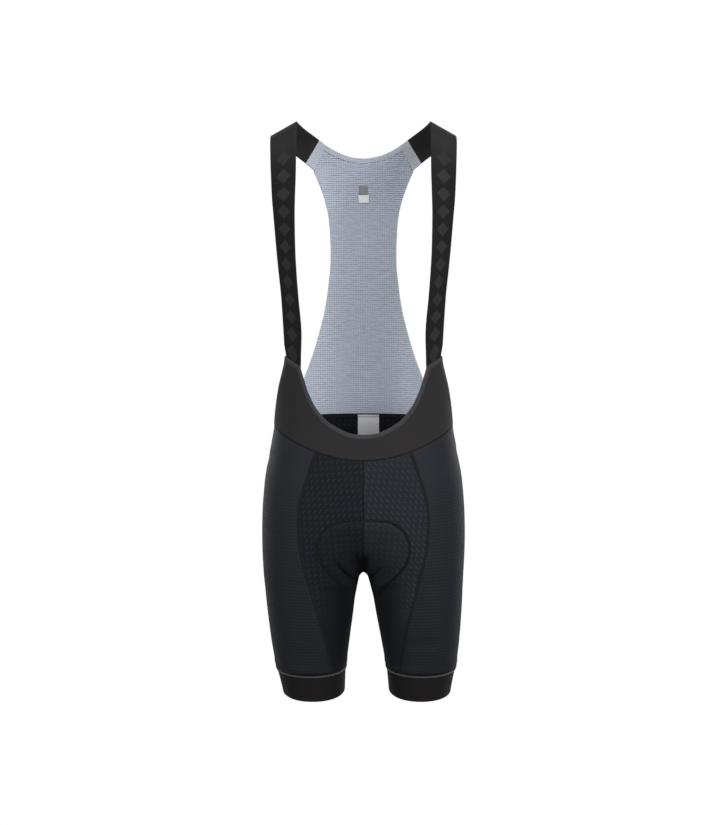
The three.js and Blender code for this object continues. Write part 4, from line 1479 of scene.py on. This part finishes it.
class BIBSHORTS_OT_stage(bpy.types.Operator):
    """The pale floor, the lamps and the camera"""

    bl_idname = "bib_shorts.stage"
    bl_label = "Stage"

    def execute(self, context):
        scene = context.scene
        studio = scene.bib_shorts_studio
        mesh = bpy.data.meshes.new("floor")
        bm = bmesh.new()
        bmesh.ops.create_circle(bm, cap_ends=True, segments=96, radius=9.0)
        bmesh.ops.translate(bm, verts=bm.verts[:], vec=(0, 0, -1.15))
        bm.to_mesh(mesh)
        bm.free()
        floor = bpy.data.objects.new("floor", mesh)
        scene.collection.objects.link(floor)
        paper = bpy.data.materials.new("matt_white_studio_paper")
        paper.use_nodes = True
        tree = paper.node_tree
        tree.nodes.clear()
        ray = add(tree, "LightPath")
        matt = add(tree, "BsdfDiffuse", {"Color": (*linear("#808080"), 1)})
        glow = add(tree, "Emission", {"Color": (1, 1, 1, 1), "Strength": 1.0})
        lit = add(tree, "MixShader", {0: ray.outputs["Is Camera Ray"], 1: matt, 2: glow})
        add(tree, "OutputMaterial", {0: lit})
        mesh.materials.append(paper)
        world = bpy.data.worlds.new("white studio")
        world.use_nodes = True
        tree = world.node_tree
        tree.nodes.clear()
        ray = add(tree, "LightPath")
        seen = add(tree, "Background", {"Color": (1, 1, 1, 1), "Strength": 1.0})
        felt = add(tree, "Background", {"Color": (1, 1, 1, 1), "Strength": studio.surround})
        both_ways = add(tree, "MixShader", {0: ray.outputs["Is Camera Ray"], 1: felt, 2: seen})
        add(tree, "OutputWorld", {0: both_ways})
        scene.world = world
        middle = (CAD_BOX[0] + CAD_BOX[1]) / 2
        for name, place, power, size in (
            ("key lamp", (1.5, -1.9, 0.9), studio.key, 1.4),
            ("fill lamp", (-1.8, -1.8, 0.6), studio.fill, 1.6),
            ("left rim lamp", (1.7, 1.8, -0.1), studio.rim, 1.4),
            ("right rim lamp", (-1.7, 1.8, -0.1), studio.rim, 1.4),
        ):
            data = bpy.data.lights.new(name, "AREA")
            data.energy = power
            data.size = size
            lamp = bpy.data.objects.new(name, data)
            lamp.location = place
            lamp.rotation_euler = (middle - lamp.location).to_track_quat("-Z", "Y").to_euler()
            scene.collection.objects.link(lamp)
        data = bpy.data.cameras.new("camera")
        data.lens = 65.4
        data.shift_y = -0.09
        data.clip_end = 50
        camera = bpy.data.objects.new("camera", data)
        camera.location = (0, -2.448, -0.18)
        camera.rotation_euler = (math.radians(86.0), 0, 0)
        scene.collection.objects.link(camera)
        scene.camera = camera
        scene.view_settings.view_transform = "Standard"
        return {"FINISHED"}


class BIBSHORTS_PT_panel(bpy.types.Panel):
    """Lists what the add-on builds"""

    bl_idname = "BIBSHORTS_PT_panel"
    bl_label = "Bib shorts"
    bl_space_type = "VIEW_3D"
    bl_region_type = "UI"
    bl_category = "Bib shorts"

    def draw(self, context):
        scene = context.scene
        for group in (scene.bib_shorts_sizes, scene.bib_shorts_colours, scene.bib_shorts_studio):
            for name in group.__annotations__:
                self.layout.prop(group, name)
        for operator in OPERATORS:
            self.layout.operator(operator.bl_idname)


OPERATORS = (
    BIBSHORTS_OT_panels,
    BIBSHORTS_OT_grippers,
    BIBSHORTS_OT_bib,
    BIBSHORTS_OT_straps,
    BIBSHORTS_OT_back,
    BIBSHORTS_OT_tags,
    BIBSHORTS_OT_waist_tape,
    BIBSHORTS_OT_pad,
    BIBSHORTS_OT_seams,
    BIBSHORTS_OT_stage,
)
CLASSES = (BibShortsSizes, BibShortsColours, BibShortsStudio, *OPERATORS, BIBSHORTS_PT_panel)


def register():
    for item in CLASSES:
        bpy.utils.register_class(item)
    bpy.types.Scene.bib_shorts_sizes = PointerProperty(type=BibShortsSizes)
    bpy.types.Scene.bib_shorts_colours = PointerProperty(type=BibShortsColours)
    bpy.types.Scene.bib_shorts_studio = PointerProperty(type=BibShortsStudio)


def unregister():
    del bpy.types.Scene.bib_shorts_studio
    del bpy.types.Scene.bib_shorts_colours
    del bpy.types.Scene.bib_shorts_sizes
    for item in reversed(CLASSES):
        bpy.utils.unregister_class(item)


def main():
    register()
    FINISH.update(finishes(bpy.context.scene.bib_shorts_colours))
    for operator in (
        bpy.ops.bib_shorts.panels,
        bpy.ops.bib_shorts.grippers,
        bpy.ops.bib_shorts.bib,
        bpy.ops.bib_shorts.straps,
        bpy.ops.bib_shorts.back,
        bpy.ops.bib_shorts.tags,
        bpy.ops.bib_shorts.waist_tape,
        bpy.ops.bib_shorts.pad,
        bpy.ops.bib_shorts.seams,
        bpy.ops.bib_shorts.stage,
    ):
        operator()


if __name__ == "__main__":
    main()
